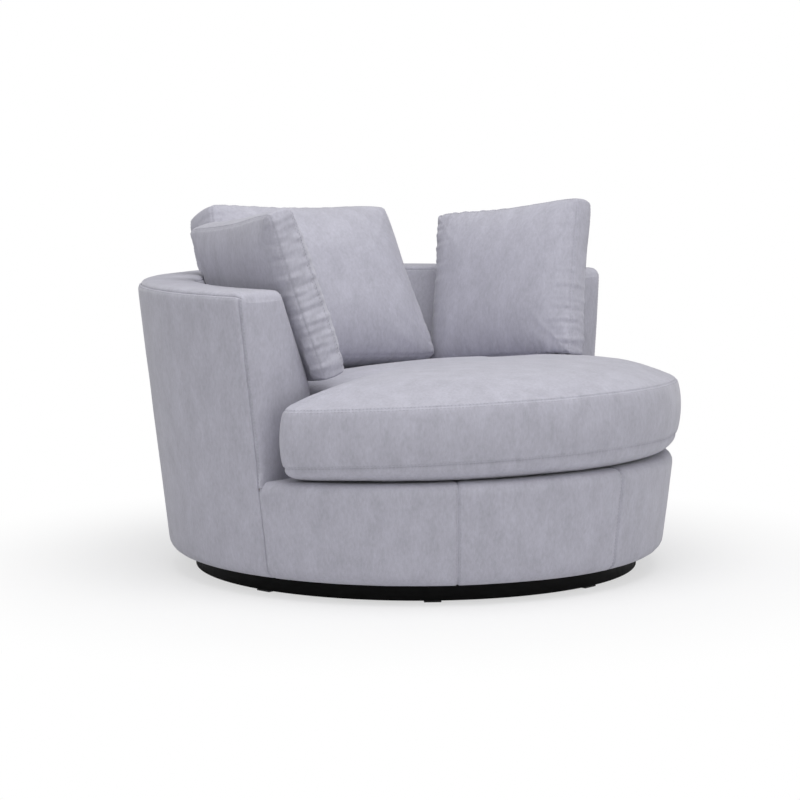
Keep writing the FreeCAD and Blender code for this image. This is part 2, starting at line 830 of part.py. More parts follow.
add_shape("webbing_side_to_side", straps(ring_top, False))
add_shape("webbing_front_to_back", straps(ring_top + size("web_thickness"), True))


# Seat cushion
def outline_corners(front, rear, ear, ear_round, notch_round):
    """Key points of the right half of the T-shaped plan, from the front to the back."""
    corner_y = -ear - ear_round
    corner_x = math.sqrt((front - ear_round) ** 2 - corner_y ** 2)
    notch_y = -ear + notch_round
    notch_x = math.sqrt((rear + notch_round) ** 2 - notch_y ** 2)
    corner = Vector(corner_x, corner_y, 0)
    notch = Vector(notch_x, notch_y, 0)
    toward = (Vector(corner).normalize() + Vector(0, 1, 0)).normalize()
    away = (Vector(notch).normalize() * -1 - Vector(0, 1, 0)).normalize()
    return {
        "nose": Vector(0, -front, 0),
        "front_mid": front * Vector(math.sin(math.pi / 4), -math.cos(math.pi / 4), 0),
        "front_end": corner * (front / (front - ear_round)),
        "corner_mid": corner + toward * ear_round,
        "ear_outer": Vector(corner_x, -ear, 0),
        "ear_inner": Vector(notch_x, -ear, 0),
        "notch_mid": notch + away * notch_round,
        "rear_start": notch * (rear / (rear + notch_round)),
        "rear_mid": rear * Vector(math.cos(math.pi / 5), math.sin(math.pi / 5), 0),
        "tail": Vector(0, rear, 0),
    }


def arc_points(start, middle, end, count):
    """Points along an arc through three points, without its last one."""
    arc = Part.Arc(start, middle, end)
    first, last = arc.FirstParameter, arc.LastParameter
    spots = [arc.value(first + (last - first) * step / count) for step in range(count)]
    if (spots[0] - start).Length > (arc.value(last) - start).Length:
        spots = [arc.value(last - (last - first) * step / count) for step in range(count)]
    return spots


def seat_outline(grow, share, pitch, level):
    """The T-shaped plan, grown, shrunk about its middle and laid in a pitched plane."""
    spots = outline_corners(
        size("seat_front_radius") + grow, size("seat_rear_radius") + grow,
        size("seat_ear_line") - grow, size("seat_ear_round") + grow, size("seat_notch_round"))
    half = arc_points(spots["nose"], spots["front_mid"], spots["front_end"], 8)
    half += arc_points(spots["front_end"], spots["corner_mid"], spots["ear_outer"], 3)
    half.append(spots["ear_outer"])
    half += arc_points(spots["ear_inner"], spots["notch_mid"], spots["rear_start"], 2)
    half += arc_points(spots["rear_start"], spots["rear_mid"], spots["tail"], 7)
    half.append(spots["tail"])
    other = [Vector(-point.x, point.y, 0) for point in reversed(half[1:-1])]
    middle = Vector(0, -size("seat_ear_line"), 0)
    lean = math.radians(pitch)
    outline = []
    for point in half + other:
        point = middle + (point - middle) * share
        outline.append(
            Vector(point.x, point.y * math.cos(lean), level - point.y * math.sin(lean)))
    return outline


def skinned(rings):
    """A closed solid of flat facets through outlines that have the same number of points."""
    faces = []
    for low, high in zip(rings, rings[1:]):
        count = len(low)
        for index in range(count):
            after = (index + 1) % count
            near, far = low[index], low[after]
            over, beyond = high[after], high[index]
            for corners in ((near, far, over), (near, over, beyond)):
                faces.append(Part.Face(Part.makePolygon(list(corners) + [corners[0]])))
    for ring in (rings[0], rings[-1]):
        faces.append(Part.Face(Part.makePolygon(ring + [ring[0]])))
    solid = Part.Solid(Part.Shell(faces))
    if solid.Volume < 0:
        solid.reverse()
    return solid


seat_pitch = size("seat_pitch")
bottom_seam = size("seat_bottom_seam")
top_seam = bottom_seam + size("seat_border")
deck_level = size("rail_height") + size("rest_gap")
crown = size("seat_crown")
# Each section: growth, share of the plan, pitch and level at the swivel axis.
SEAT_SECTIONS = [
    (0, 0.90, size("rail_pitch"), deck_level),
    (0, 0.965, (size("rail_pitch") + seat_pitch) / 2,
     (deck_level + bottom_seam) / 2 - size("seat_underfill")),
    (0, 1.0, seat_pitch, bottom_seam),
    (0.7 * size("seat_border_bulge"), 1.0, seat_pitch, bottom_seam + 0.22 * size("seat_border")),
    (size("seat_border_bulge"), 1.0, seat_pitch, bottom_seam + 0.5 * size("seat_border")),
    (0.7 * size("seat_border_bulge"), 1.0, seat_pitch, bottom_seam + 0.78 * size("seat_border")),
    (0, 1.0, seat_pitch, top_seam),
    (0, 0.97, seat_pitch, top_seam + 0.22 * crown),
    (0, 0.92, seat_pitch, top_seam + 0.42 * crown),
    (0, 0.82, seat_pitch * 0.97, top_seam + 0.62 * crown),
    (0, 0.66, seat_pitch * 0.93, top_seam + 0.80 * crown),
    (0, 0.48, seat_pitch * 0.88, top_seam + 0.92 * crown),
    (0, 0.25, seat_pitch * 0.82, top_seam + crown),
]
seat_form = skinned([seat_outline(*section) for section in SEAT_SECTIONS])
core_plan = seat_outline(0, 0.93, seat_pitch, bottom_seam + size("seat_core_lift"))
core_face = Part.Face(Part.makePolygon(core_plan + [core_plan[0]]))
core_way = Vector(0, math.sin(math.radians(seat_pitch)), math.cos(math.radians(seat_pitch)))
seat_core = core_face.extrude(core_way * size("seat_core_depth"))
add_shape("seat_cushion_core", seat_core)
add_shape("seat_cushion_cover", seat_form.cut(seat_core))


# Loose cushions
def pillow_outline(width, depth, share, draw, level):
    """A rounded rectangle whose sides are drawn in, or bowed out where draw is negative."""
    half_width = width * share / 2
    half_depth = depth * share / 2
    turn = min(half_width, half_depth) * (0.08 + 0.5 * abs(1 - share))
    bend = turn * (1 - math.sqrt(0.5))
    outline = []
    for step in range(4):
        along, across = (half_width, half_depth) if step % 2 == 0 else (half_depth, half_width)
        quarter = Rotation(UP, 90 * step)
        side_start = Vector(along, turn - across, level)
        side_middle = Vector(along - draw, 0, level)
        side_end = Vector(along, across - turn, level)
        spots = arc_points(side_start, side_middle, side_end, 4)
        spots += [side_end, Vector(along - bend, across - bend, level)]
        outline += [quarter.multVec(spot) for spot in spots]
    return outline


# Share of the crown's height reached at each share of the panel's size.
CROWN_STEPS = [(0.96, 0.22), (0.88, 0.48), (0.70, 0.78), (0.42, 1.0)]


def pillow(width, depth, border, front_crown, back_crown):
    """A boxed cushion, its front face up, with crowned faces and drawn-in sides."""
    draw = size("cushion_draw")
    sections = []
    for share, rise in reversed(CROWN_STEPS):
        sections.append((share, draw * (1.6 * share - 1), -border / 2 - rise * back_crown))
    for share, level in ((1.0, -0.5), (1.02, 0), (1.0, 0.5)):
        sections.append((share, draw, level * border))
    for share, rise in CROWN_STEPS:
        sections.append((share, draw * (1.6 * share - 1), border / 2 + rise * front_crown))
    return skinned([pillow_outline(width, depth, *section) for section in sections])


def filling(width, depth, border, front_crown, back_crown):
    """The stuffed inner pad, drawn plainly inside the cover."""
    sections = [(0.50, -border / 2 - 0.7 * back_crown), (0.86, -border * 0.4),
                (0.86, border * 0.4), (0.50, border / 2 + 0.7 * front_crown)]
    rings = []
    for share, level in sections:
        along = width * share / 2
        across = depth * share / 2
        rings.append([Vector(along, -across, level), Vector(along, across, level),
                      Vector(-along, across, level), Vector(-along, -across, level)])
    return skinned(rings)


def pose(yaw, tilt, roll):
    """Stand a cushion up, facing the front, lean it back and turn it towards +X."""
    stand = Rotation(ACROSS, 90)
    leaned = Rotation(ACROSS, -tilt).multiply(Rotation(Vector(0, 1, 0), -roll)).multiply(stand)
    return Rotation(UP, yaw).multiply(leaned)


def place_of(name, x, y, z):
    turn = pose(size(name + "_yaw"), size(name + "_tilt"), size(name + "_roll"))
    return FreeCAD.Placement(Vector(size(x), size(y), size(z)), turn)


def behind_back_cushion(depth):
    """All that lies behind the face of the back cushion, sunk into its crown by a depth."""
    level = size("back_border") / 2 + size("back_crown") - depth
    block = Part.makeBox(2 * FAR, 2 * FAR, FAR, Vector(-FAR, -FAR, level - FAR))
    block.Placement = BACK_PLACE
    return block


def add_cushion(name, form, inner, placement, on_back):
    """Trim a cushion to the wall, the seat and the cushion that it leans on."""
    form.Placement = placement
    inner.Placement = placement
    fabric = size("cushion_fabric")
    resting = Vector(0, 0, size("rest_gap"))
    form = form.cut(wall(-size("wall_clearance")))
    form = form.cut(seat_form.translated(resting))
    inner = inner.cut(wall(-size("wall_clearance") - fabric))
    inner = inner.cut(seat_form.translated(resting + UP * fabric))
    if on_back:
        form = form.cut(behind_back_cushion(size("nestle_depth")))
        inner = inner.cut(behind_back_cushion(size("nestle_depth") - fabric))
    add_shape(name + "_filling", inner)
    add_shape(name + "_cover", form.cut(inner))


BACK_SIZES = (size("back_width"), size("back_depth"), size("back_border"),
              size("back_crown"), size("back_crown") * 0.4)
SCATTER_SIZES = (size("scatter_width"), size("scatter_depth"), size("scatter_border"),
                 size("scatter_crown"), size("scatter_crown") * 0.7)
BACK_PLACE = place_of("back", "back_shift", "back_y", "back_z")
add_cushion("back_cushion", pillow(*BACK_SIZES), filling(*BACK_SIZES), BACK_PLACE, False)
add_cushion("left_scatter", pillow(*SCATTER_SIZES), filling(*SCATTER_SIZES),
            place_of("left", "left_x", "left_place", "left_z"), True)
add_cushion("right_scatter", pillow(*SCATTER_SIZES), filling(*SCATTER_SIZES),
            place_of("right", "right_x", "right_place", "right_z"), True)

# Check everything, then write one file for each sub-part
doc.recompute()
for item in doc.Objects:
    if "Invalid" in item.State or "Error" in item.State:
        raise RuntimeError(item.Name + " failed")
for part in PARTS:
    shape = part.Shape
    if shape.isNull() or not shape.isValid() or not shape.Solids:
        raise RuntimeError(part.Label + " has no valid solid")
os.makedirs("parts", exist_ok=True)
for part in PARTS:
    part.Shape.exportStep("parts/" + part.Label + ".step")
    print(part.Label, len(part.Shape.Solids), round(part.Shape.Volume / 1000))
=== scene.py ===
# %% [markdown]
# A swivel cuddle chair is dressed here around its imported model. The model is the fixed frame:
# its pieces keep their places, and the cloth, cushions, finishes, light and camera are added.
# Everything is in metres, with +Z up, the swivel axis at X = Y = 0 and the chair facing -Y.

import json
import math

import bmesh
import bpy
import numpy as np
from mathutils import Matrix, Vector, noise
from mathutils.bvhtree import BVHTree
from mathutils.kdtree import KDTree

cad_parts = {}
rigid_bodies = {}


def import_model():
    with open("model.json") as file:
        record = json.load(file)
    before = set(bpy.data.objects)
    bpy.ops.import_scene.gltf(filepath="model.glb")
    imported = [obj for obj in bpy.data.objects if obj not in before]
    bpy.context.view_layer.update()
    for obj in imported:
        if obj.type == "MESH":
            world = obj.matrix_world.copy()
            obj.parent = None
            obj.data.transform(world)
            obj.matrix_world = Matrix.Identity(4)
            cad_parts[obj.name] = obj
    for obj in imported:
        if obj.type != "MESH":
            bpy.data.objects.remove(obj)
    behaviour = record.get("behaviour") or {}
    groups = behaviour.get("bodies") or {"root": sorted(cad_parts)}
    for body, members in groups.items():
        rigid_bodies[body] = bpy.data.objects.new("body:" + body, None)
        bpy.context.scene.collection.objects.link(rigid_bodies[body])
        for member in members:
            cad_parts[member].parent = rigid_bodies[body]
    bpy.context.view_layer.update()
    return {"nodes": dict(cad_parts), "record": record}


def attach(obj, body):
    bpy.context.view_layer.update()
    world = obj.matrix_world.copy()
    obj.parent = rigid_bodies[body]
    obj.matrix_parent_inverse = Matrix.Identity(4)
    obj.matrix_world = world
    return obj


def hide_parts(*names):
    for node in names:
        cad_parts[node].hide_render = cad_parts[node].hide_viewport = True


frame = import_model()
print("nodes in the frame:", len(frame["nodes"]))

# %% [markdown]
# The tub is a cone with a hollow in it. Both are described by a few driving sizes, so the same
# numbers place the cloth of the wall, the rim, the arms and the base.

# %% Sizes of the tub
MM = 0.001
RIM_RADIUS = 625 * MM
RIM_HEIGHT = 644 * MM
WALL_LEAN = math.radians(6.57)
SKIRT_HEIGHT = 41 * MM
SKIRT_ROUND = 30 * MM
EDGE_ROUND = 22 * MM
RIM_INNER = RIM_RADIUS - 133 * MM
INNER_LEAN = math.radians(21.35)
KNEE_HEIGHT = 430 * MM
KNEE_ROUND = 150 * MM
ARM_SETBACK = 60 * MM
ARM_RAKE = math.tan(math.radians(1.72))
SEAM_DROP = 8 * MM
RAIL_HEIGHT = 246 * MM
RAIL_PITCH = math.tan(math.radians(1.85))
DECK_RADIUS = 470 * MM
TURN_RADIUS = 500 * MM
WALL_FOOT = 236 * MM
CLOTH = 2.5 * MM
GRID_PITCH = 11 * MM
RIM_PITCH = 9 * MM
SEAM_STEPS = (1.2, 2.6, 4.5, 7.5, 12)
JOIN_DISTANCE = 0.05 * MM


def outer_radius(z):
    """Radius of the outside of the wall at a height."""
    return RIM_RADIUS - (RIM_HEIGHT - z) * math.tan(WALL_LEAN)


def inner_radius(z):
    """Radius of the hollow at a height, straight below its knee."""
    return RIM_INNER - (RIM_HEIGHT - np.maximum(z, KNEE_HEIGHT)) * math.tan(INNER_LEAN)


def arm_front(z):
    """Y of the raked plane in which the arms end."""
    return -ARM_SETBACK - (RIM_HEIGHT - z) * ARM_RAKE


print("hollow radius at the seat:", round(float(inner_radius(0.4)), 3))

# %% [markdown]
# Meshes are made from grids of points: a grid is quick to compute with numpy, its lines run
# along the seams, and it subdivides cleanly. Two helpers turn grids into objects, and one
# applies an object's modifiers, so that each piece is plain mesh.

# %% Mesh helpers
def grid_faces(rows, columns):
    """Quads of a grid whose points are numbered row by row."""
    corner = np.arange(rows * columns).reshape(rows, columns)
    quads = np.stack([corner[:-1, :-1], corner[1:, :-1], corner[1:, 1:], corner[:-1, 1:]], -1)
    return quads.reshape(-1, 4)


def new_object(name, points, faces):
    """A smooth mesh object; each face is a list of point numbers."""
    mesh = bpy.data.meshes.new(name)
    mesh.from_pydata(np.asarray(points).reshape(-1, 3).tolist(), [], faces)
    mesh.polygons.foreach_set("use_smooth", [True] * len(mesh.polygons))
    mesh.update()
    piece = bpy.data.objects.new(name, mesh)
    bpy.context.scene.collection.objects.link(piece)
    return piece


def read_points(piece, kind="co"):
    """Places of a mesh's points or, where kind is "normal", their normals."""
    values = np.zeros(len(piece.data.vertices) * 3)
    piece.data.vertices.foreach_get(kind, values)
    return values.reshape(-1, 3)


def write_points(piece, spots):
    piece.data.vertices.foreach_set("co", np.asarray(spots, float).ravel())
    piece.data.update()


def apply_modifiers(piece):
    graph = bpy.context.evaluated_depsgraph_get()
    made = bpy.data.meshes.new_from_object(piece.evaluated_get(graph))
    piece.modifiers.clear()
    piece.data = made


def thicken(piece, depth=CLOTH):
    """Give a sheet of cloth its thickness, inwards."""
    solid = piece.modifiers.new("thickness", "SOLIDIFY")
    solid.thickness = depth
    solid.offset = -1
    apply_modifiers(piece)


def turn_faces(piece, joined=False, probe=None):
    """Turn all faces outwards or, near a probe point, towards it; first join double points."""
    work = bmesh.new()
    work.from_mesh(piece.data)
    if joined:
        bmesh.ops.remove_doubles(work, verts=work.verts, dist=JOIN_DISTANCE)
        work.normal_update()
    bmesh.ops.recalc_face_normals(work, faces=work.faces)
    if probe:
        target = Vector(probe)
        nearest = min(work.faces, key=lambda face: (face.calc_center_median() - target).length)
        if nearest.normal.dot(target - nearest.calc_center_median()) < 0:
            bmesh.ops.reverse_faces(work, faces=work.faces)
    work.to_mesh(piece.data)
    work.free()


def ripple(spots, scale, seed):
    """Smooth noise from -1 to 1 at each point."""
    shift = Vector((seed * 3.1, seed * 1.7, seed * 5.3))
    return np.array([noise.noise(Vector(spot) / scale + shift) for spot in spots])


print("mesh helpers are ready; cloth is", CLOTH, "m thick")

# %% [markdown]
# An upholsterer's edge is never sharp. This helper rounds chosen corners of an outline with
# arcs, always with the same number of points, so that outlines at different depths match.

# %% Outlines with rounded corners
def corner_arc(before, corner, after, radius, steps=12):
    back = (before - corner) / np.linalg.norm(before - corner)
    ahead = (after - corner) / np.linalg.norm(after - corner)
    half = math.acos(np.clip(back @ ahead, -1, 1)) / 2
    middle = back + ahead
    centre = corner + middle / np.linalg.norm(middle) * radius / math.sin(half)
    start = corner + back * radius / math.tan(half) - centre
    end = corner + ahead * radius / math.tan(half) - centre
    turn = math.pi - 2 * half
    share = np.linspace(0, 1, steps + 1)[:, None]
    return centre + (start * np.sin((1 - share) * turn) + end * np.sin(share * turn)) / math.sin(turn)


def outline(corners, rounds):
    """Corners as (radius, height); rounds gives the radius at each inner corner."""
    corners = np.array(corners, float)
    spots = [corners[:1]]
    for index in range(1, len(corners) - 1):
        radius = max(rounds[index - 1], 0.2 * MM)
        spots.append(corner_arc(corners[index - 1], corners[index], corners[index + 1], radius))
    spots.append(corners[-1:])
    return np.concatenate(spots)


def lengths_along(path):
    steps = np.linalg.norm(np.diff(path, axis=0), axis=1)
    return np.concatenate([[0], np.cumsum(steps)])


def read_along(path, marks, at):
    """A path's coordinates between its points; marks numbers the points, at says where."""
    return np.stack([np.interp(at, marks, path[:, axis]) for axis in range(path.shape[1])], -1)


def resample(path, shares):
    """Points at shares, from 0 to 1, of the length of a path."""
    marks = lengths_along(path)
    return read_along(path, marks, np.asarray(shares) * marks[-1])


def polar(radius, angle, z):
    return np.stack([radius * np.cos(angle), radius * np.sin(angle), z], -1)


def stations(start, end, pitch, fine=SEAM_STEPS):
    """Distances from start to end, close together near both ends, where the seams are."""
    near = [step * MM for step in fine if step * MM < (end - start) / 2.5]
    edge = near[-1] if near else 0
    count = max(1, round((end - start - 2 * edge) / pitch))
    middle = np.linspace(start + edge, end - edge, count + 1)
    return np.concatenate([[start], [start + step for step in near[:-1]], middle,
                           [end - step for step in reversed(near[:-1])], [end]])


print("stations from 0 to 100 mm:", len(stations(0, 0.1, GRID_PITCH)))

# %% [markdown]
# The wall is one long surface: up the outside, over the rim, down into the hollow. It is swept
# round the back and turns over both arm fronts. All of its points are worked out at once, and
# the separate pieces of cloth are cut from the grid afterwards, so that they meet exactly.

# %% The section of the wall
def wall_section(inset):
    """Outline of the wall from its foot outside, over the rim, to its foot in the hollow."""
    slant = inset / math.cos(WALL_LEAN)
    slope = inset / math.cos(INNER_LEAN)
    knee = KNEE_HEIGHT - inset * math.tan(INNER_LEAN / 2)
    straight = float(inner_radius(0)) + inset
    top = RIM_HEIGHT - inset
    mouth = RIM_INNER - inset * math.tan(INNER_LEAN) + slope
    corners = [(outer_radius(WALL_FOOT) - slant, WALL_FOOT), (outer_radius(top) - slant, top),
               (mouth, top), (straight, knee), (straight, WALL_FOOT)]
    return outline(corners, [EDGE_ROUND - inset, EDGE_ROUND - inset, KNEE_ROUND])


def height_along(section, height, first=True):
    """Distance along the outside, or the inside, at which the section reaches a height."""
    distance = lengths_along(section)
    top = int(np.argmax(section[:, 1]))
    if first:
        return float(np.interp(height, section[:top + 1, 1], distance[:top + 1]))
    return float(np.interp(-height, -section[top + 1:, 1], distance[top + 1:]))


SECTION = wall_section(0)
outer_seam = height_along(SECTION, RIM_HEIGHT - SEAM_DROP)
inner_seam = height_along(SECTION, RIM_HEIGHT - SEAM_DROP, first=False)
section_end = lengths_along(SECTION)[-1]
up = stations(0, outer_seam, GRID_PITCH)
over = stations(outer_seam, inner_seam, RIM_PITCH)
down = section_end - up[::-1] * (section_end - inner_seam) / outer_seam
ACROSS_WALL = np.concatenate([up, over[1:], down[1:]])
OUTER_LINE = len(up) - 1
INNER_LINE = OUTER_LINE + len(over) - 1
print("wall section:", round(section_end, 3), "m in", len(ACROSS_WALL), "points")


# %% [markdown]
# Along its sweep a row of the grid is either a place round the back, from 0 to 1, or a step of
# the quarter turn that takes the cloth over the edge of an arm front.

# %% Sweep the wall
SEAM_TURN = math.asin(1 - SEAM_DROP / EDGE_ROUND)
PAST_SEAM = np.array([0.06, 0.13, 0.24, 0.4, 0.65, 1.0])
FRONT_TURNS = np.concatenate([
    np.linspace(0, SEAM_TURN, 6)[1:],
    SEAM_TURN + PAST_SEAM * (math.pi / 2 - SEAM_TURN)])
SEAM_ROW = 5
BACK_STEPS = 84
BACK_SEAM_GAPS = np.array(SEAM_STEPS) * MM / (math.pi * RIM_RADIUS)
EDGE_BLEND = 40 * MM


def section_at(inset):
    """The wall's section at an inset, read at the stations of the plain section."""
    numbers = np.arange(len(SECTION))
    index = np.interp(ACROSS_WALL, lengths_along(SECTION), numbers)
    return read_along(wall_section(inset), numbers, index)


def front_row(turn):
    """Cloth on its way over the edge of the arm front, on the +X arm."""
    inset = EDGE_ROUND * (1 - math.cos(turn))
    plain = section_at(0)
    sunk = section_at(min(inset, EDGE_ROUND - 0.5 * MM))
    share = np.clip((plain[:, 1] - RAIL_HEIGHT) / EDGE_BLEND, 0, 1)[:, None]
    share[OUTER_LINE + 1:] = 1
    section = plain + (sunk - plain) * (share * share * (3 - 2 * share))
    y = arm_front(section[:, 1]) + EDGE_ROUND * (1 - math.sin(turn))
    x = np.sqrt(section[:, 0] ** 2 - y ** 2)
    return np.stack([x, y, section[:, 1]], -1)


def back_row(place):
    """Cloth at a place round the back, from 0 at the +X arm to 1 at the -X arm."""
    section = section_at(0)
    radius, z = section[:, 0], section[:, 1]
    start = np.arcsin((arm_front(z) + EDGE_ROUND) / radius)
    return polar(radius, start + place * (math.pi - 2 * start), z)


half_places = np.linspace(0, 0.5 - BACK_SEAM_GAPS[-1], BACK_STEPS)
half_places = np.concatenate([half_places, 0.5 - BACK_SEAM_GAPS[-2::-1], [0.5]])
places = np.concatenate([half_places, 1 - half_places[-2::-1]])
right_rows = [front_row(turn) for turn in FRONT_TURNS[::-1]]
left_rows = [row * [-1, 1, 1] for row in right_rows[::-1]]
wall = np.array(right_rows + [back_row(place) for place in places] + left_rows)
RIGHT_SEAM = len(FRONT_TURNS) - SEAM_ROW
LEFT_SEAM = len(wall) - 1 - RIGHT_SEAM
BACK_SEAM = len(wall) // 2
print("wall grid:", wall.shape[:2])


# %% [markdown]
# Below the rim the outside runs on down the cone, round the skirt and under the base. The same
# outline, with a rounded top edge, makes the front of the base below the seat.

# %% The skirt
def skirt_outline():
    """From under the base, round the skirt and up to the foot of the wall."""
    corners = [(TURN_RADIUS, SKIRT_HEIGHT), (outer_radius(SKIRT_HEIGHT), SKIRT_HEIGHT),
               (outer_radius(WALL_FOOT), WALL_FOOT)]
    return outline(corners, [SKIRT_ROUND])


def front_outline(angle):
    """From under the base up to the deck, at a plan angle where the deck has its own height."""
    edge = outer_radius(RAIL_HEIGHT)
    level = RAIL_HEIGHT - edge * math.sin(angle) * RAIL_PITCH
    inner = RAIL_HEIGHT - DECK_RADIUS * math.sin(angle) * RAIL_PITCH
    corners = [(TURN_RADIUS, SKIRT_HEIGHT), (outer_radius(SKIRT_HEIGHT), SKIRT_HEIGHT),
               (outer_radius(level), level), (DECK_RADIUS, inner)]
    return outline(corners, [SKIRT_ROUND, EDGE_ROUND])


SKIRT_POINTS = 33
skirt = resample(skirt_outline(), np.linspace(0, 1, SKIRT_POINTS + 1))
foot_angles = np.unwrap(np.arctan2(wall[:, 0, 1], wall[:, 0, 0]))
foot_span = foot_angles[LEFT_SEAM] - foot_angles[RIGHT_SEAM]
skirt_rows = []
for row in range(RIGHT_SEAM, LEFT_SEAM + 1):
    share = (foot_angles[row] - foot_angles[RIGHT_SEAM]) / foot_span
    start = np.arcsin((arm_front(skirt[:, 1]) + SEAM_DROP) / skirt[:, 0])
    skirt_rows.append(polar(skirt[:, 0], start + share * (math.pi - 2 * start), skirt[:, 1]))
outside = np.concatenate([np.array(skirt_rows)[:, :-1], wall[RIGHT_SEAM:LEFT_SEAM + 1]], axis=1)
print("outside grid:", outside.shape[:2])


# %% [markdown]
# A seam pulls the cloth into the padding. Each grid knows how far its lines are from a seam, so
# the pull is a narrow dip in the distance from it, and a slow unevenness is laid over the whole.

# %% Seams pulled into the wall
SEAM_WIDTH = 3.2 * MM
SEAM_DEPTH = 2.4 * MM
SLOW_WAVE = 130 * MM
QUICK_WAVE = 50 * MM


def grid_normals(grid):
    """Outward normals at the points of a grid, from the directions of its lines."""
    along = np.gradient(grid, axis=0)
    across = np.gradient(grid, axis=1)
    normals = np.cross(along, across)
    return normals / np.maximum(np.linalg.norm(normals, axis=-1, keepdims=True), 1e-12)


def dip(distance):
    return np.exp(-(np.abs(distance) / SEAM_WIDTH) ** 1.5)


def pull_seams(grid, rows_from, columns_from, slack=0.9 * MM):
    """Sink a grid along its seams; distances are given per row and per column."""
    depth = np.zeros(grid.shape[:2])
    for distances, allowed in rows_from:
        depth = np.maximum(depth, dip(distances)[:, None] * allowed[None, :])
    for distances, allowed in columns_from:
        depth = np.maximum(depth, dip(distances)[None, :] * allowed[:, None])
    normals = grid_normals(grid)
    flat = grid.reshape(-1, 3)
    uneven = ripple(flat, SLOW_WAVE, 1).reshape(depth.shape) * slack
    uneven += ripple(flat, QUICK_WAVE, 2).reshape(depth.shape) * slack * 0.35
    return grid + normals * (uneven - depth * SEAM_DEPTH)[..., None]


ROW_LENGTH = lengths_along(wall[:, OUTER_LINE])
column_index = np.arange(len(ACROSS_WALL))
outside_only = (column_index <= OUTER_LINE).astype(float)
not_rim = ((column_index <= OUTER_LINE) | (column_index >= INNER_LINE)).astype(float)
row_index = np.arange(len(wall))
between = ((row_index >= RIGHT_SEAM) & (row_index <= LEFT_SEAM)).astype(float)
row_seams = [(ROW_LENGTH - ROW_LENGTH[RIGHT_SEAM], not_rim),
             (ROW_LENGTH - ROW_LENGTH[LEFT_SEAM], not_rim),
             (ROW_LENGTH - ROW_LENGTH[BACK_SEAM], outside_only)]
column_seams = [(ACROSS_WALL - outer_seam, between), (ACROSS_WALL - inner_seam, between)]
wall = pull_seams(wall, row_seams, column_seams)
print("seams across and along the wall:", len(row_seams), "and", len(column_seams))


# %% [markdown]
# The fitted covers: two outer halves with the skirt, the lining of the hollow, and one
# continuous band for the rim and both arm fronts. The flat of each arm front is filled by
# blending its four edges, so its lines run on from the cloth that turns over them.


# %% From grids to covers
def fitted(node_name, grids, probe):
    """One piece of cloth from joined grids, with its faces turned towards a probe point."""
    points, faces, count = [], [], 0
    for grid in grids:
        rows, columns = grid.shape[:2]
        faces.append(grid_faces(rows, columns) + count)
        points.append(grid.reshape(-1, 3))
        count += rows * columns
    piece = new_object("sewn_" + node_name, np.concatenate(points), np.concatenate(faces).tolist())
    turn_faces(piece, joined=True, probe=probe)
    return piece


def blended_patch(left, right, bottom, top):
    """A grid between four edges, each given as a line of points."""
    rise = np.linspace(0, 1, len(left))[:, None, None]
    run = np.linspace(0, 1, len(top))[None, :, None]
    sides = left[:, None] * (1 - run) + right[:, None] * run
    ends = bottom[None, :] * (1 - rise) + top[None, :] * rise
    corners = (left[0] * (1 - run) + right[0] * run) * (1 - rise) \
        + (left[-1] * (1 - run) + right[-1] * run) * rise
    return sides + ends - corners


def arm_cap(edge, puff=4 * MM):
    """The front of an arm inside the cloth that turns over its edges."""
    left = edge[:OUTER_LINE + 1]
    right = edge[INNER_LINE:][::-1]
    top = edge[OUTER_LINE:INNER_LINE + 1]
    share = np.linspace(0, 1, len(top))[:, None]
    patch = blended_patch(left, right, left[0] * (1 - share) + right[0] * share, top)
    rise = np.sin(np.linspace(0, 1, len(left)) * math.pi)[:, None]
    run = np.sin(np.linspace(0, 1, len(top)) * math.pi)[None, :]
    patch[..., 1] -= puff * (rise * run) ** 2
    return patch


arm_front_faces = [arm_cap(wall[0]), arm_cap(wall[-1])]
print("arm fronts:", [cap.shape[:2] for cap in arm_front_faces])


# %% [markdown]
# The covers are cut along the seam lines of the grids. Each is joined, given the thickness of
# the cloth and fixed to the tub, and it takes the place of the plain piece of the same name.

# %% Cut the covers of the tub
outside = np.concatenate([outside[:, :SKIRT_POINTS], wall[RIGHT_SEAM:LEFT_SEAM + 1]], axis=1)
back_place = BACK_SEAM - RIGHT_SEAM
outside_seams = [(ROW_LENGTH[RIGHT_SEAM:LEFT_SEAM + 1] - ROW_LENGTH[row],
                  (np.arange(outside.shape[1]) < SKIRT_POINTS).astype(float))
                 for row in (RIGHT_SEAM, BACK_SEAM, LEFT_SEAM)]
outside[:, :SKIRT_POINTS + 1] = pull_seams(outside, outside_seams, [], 0)[:, :SKIRT_POINTS + 1]
COVER_COLUMNS = SKIRT_POINTS + OUTER_LINE + 1
cover_right = fitted("outer_cover_right", [outside[:back_place + 1, :COVER_COLUMNS]], (2, 1, 0.4))
cover_left = fitted("outer_cover_left", [outside[back_place:, :COVER_COLUMNS]], (-2, 1, 0.4))
lining = fitted("inner_wall_cover", [wall[RIGHT_SEAM:LEFT_SEAM + 1, INNER_LINE:]], (0, 0, 0.6))
band_grids = [wall[RIGHT_SEAM:LEFT_SEAM + 1, OUTER_LINE:INNER_LINE + 1],
              wall[:RIGHT_SEAM + 1], arm_front_faces[0], wall[LEFT_SEAM:], arm_front_faces[1]]
band = fitted("rim_and_arm_band", band_grids, (0, 0.56, 2))
PADDING = {"sewn_rim_and_arm_band": ["rim_pad", "left_arm_pad", "right_arm_pad"],
           "sewn_inner_wall_cover": ["inner_wall_pad"]}
for cover in (cover_right, cover_left, lining, band):
    thicken(cover)
    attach(cover, "tub")
    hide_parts(cover.name.removeprefix("sewn_"), *PADDING.get(cover.name, []))
print("covers of the wall:", [len(piece.data.vertices) for piece in (cover_right, lining, band)])


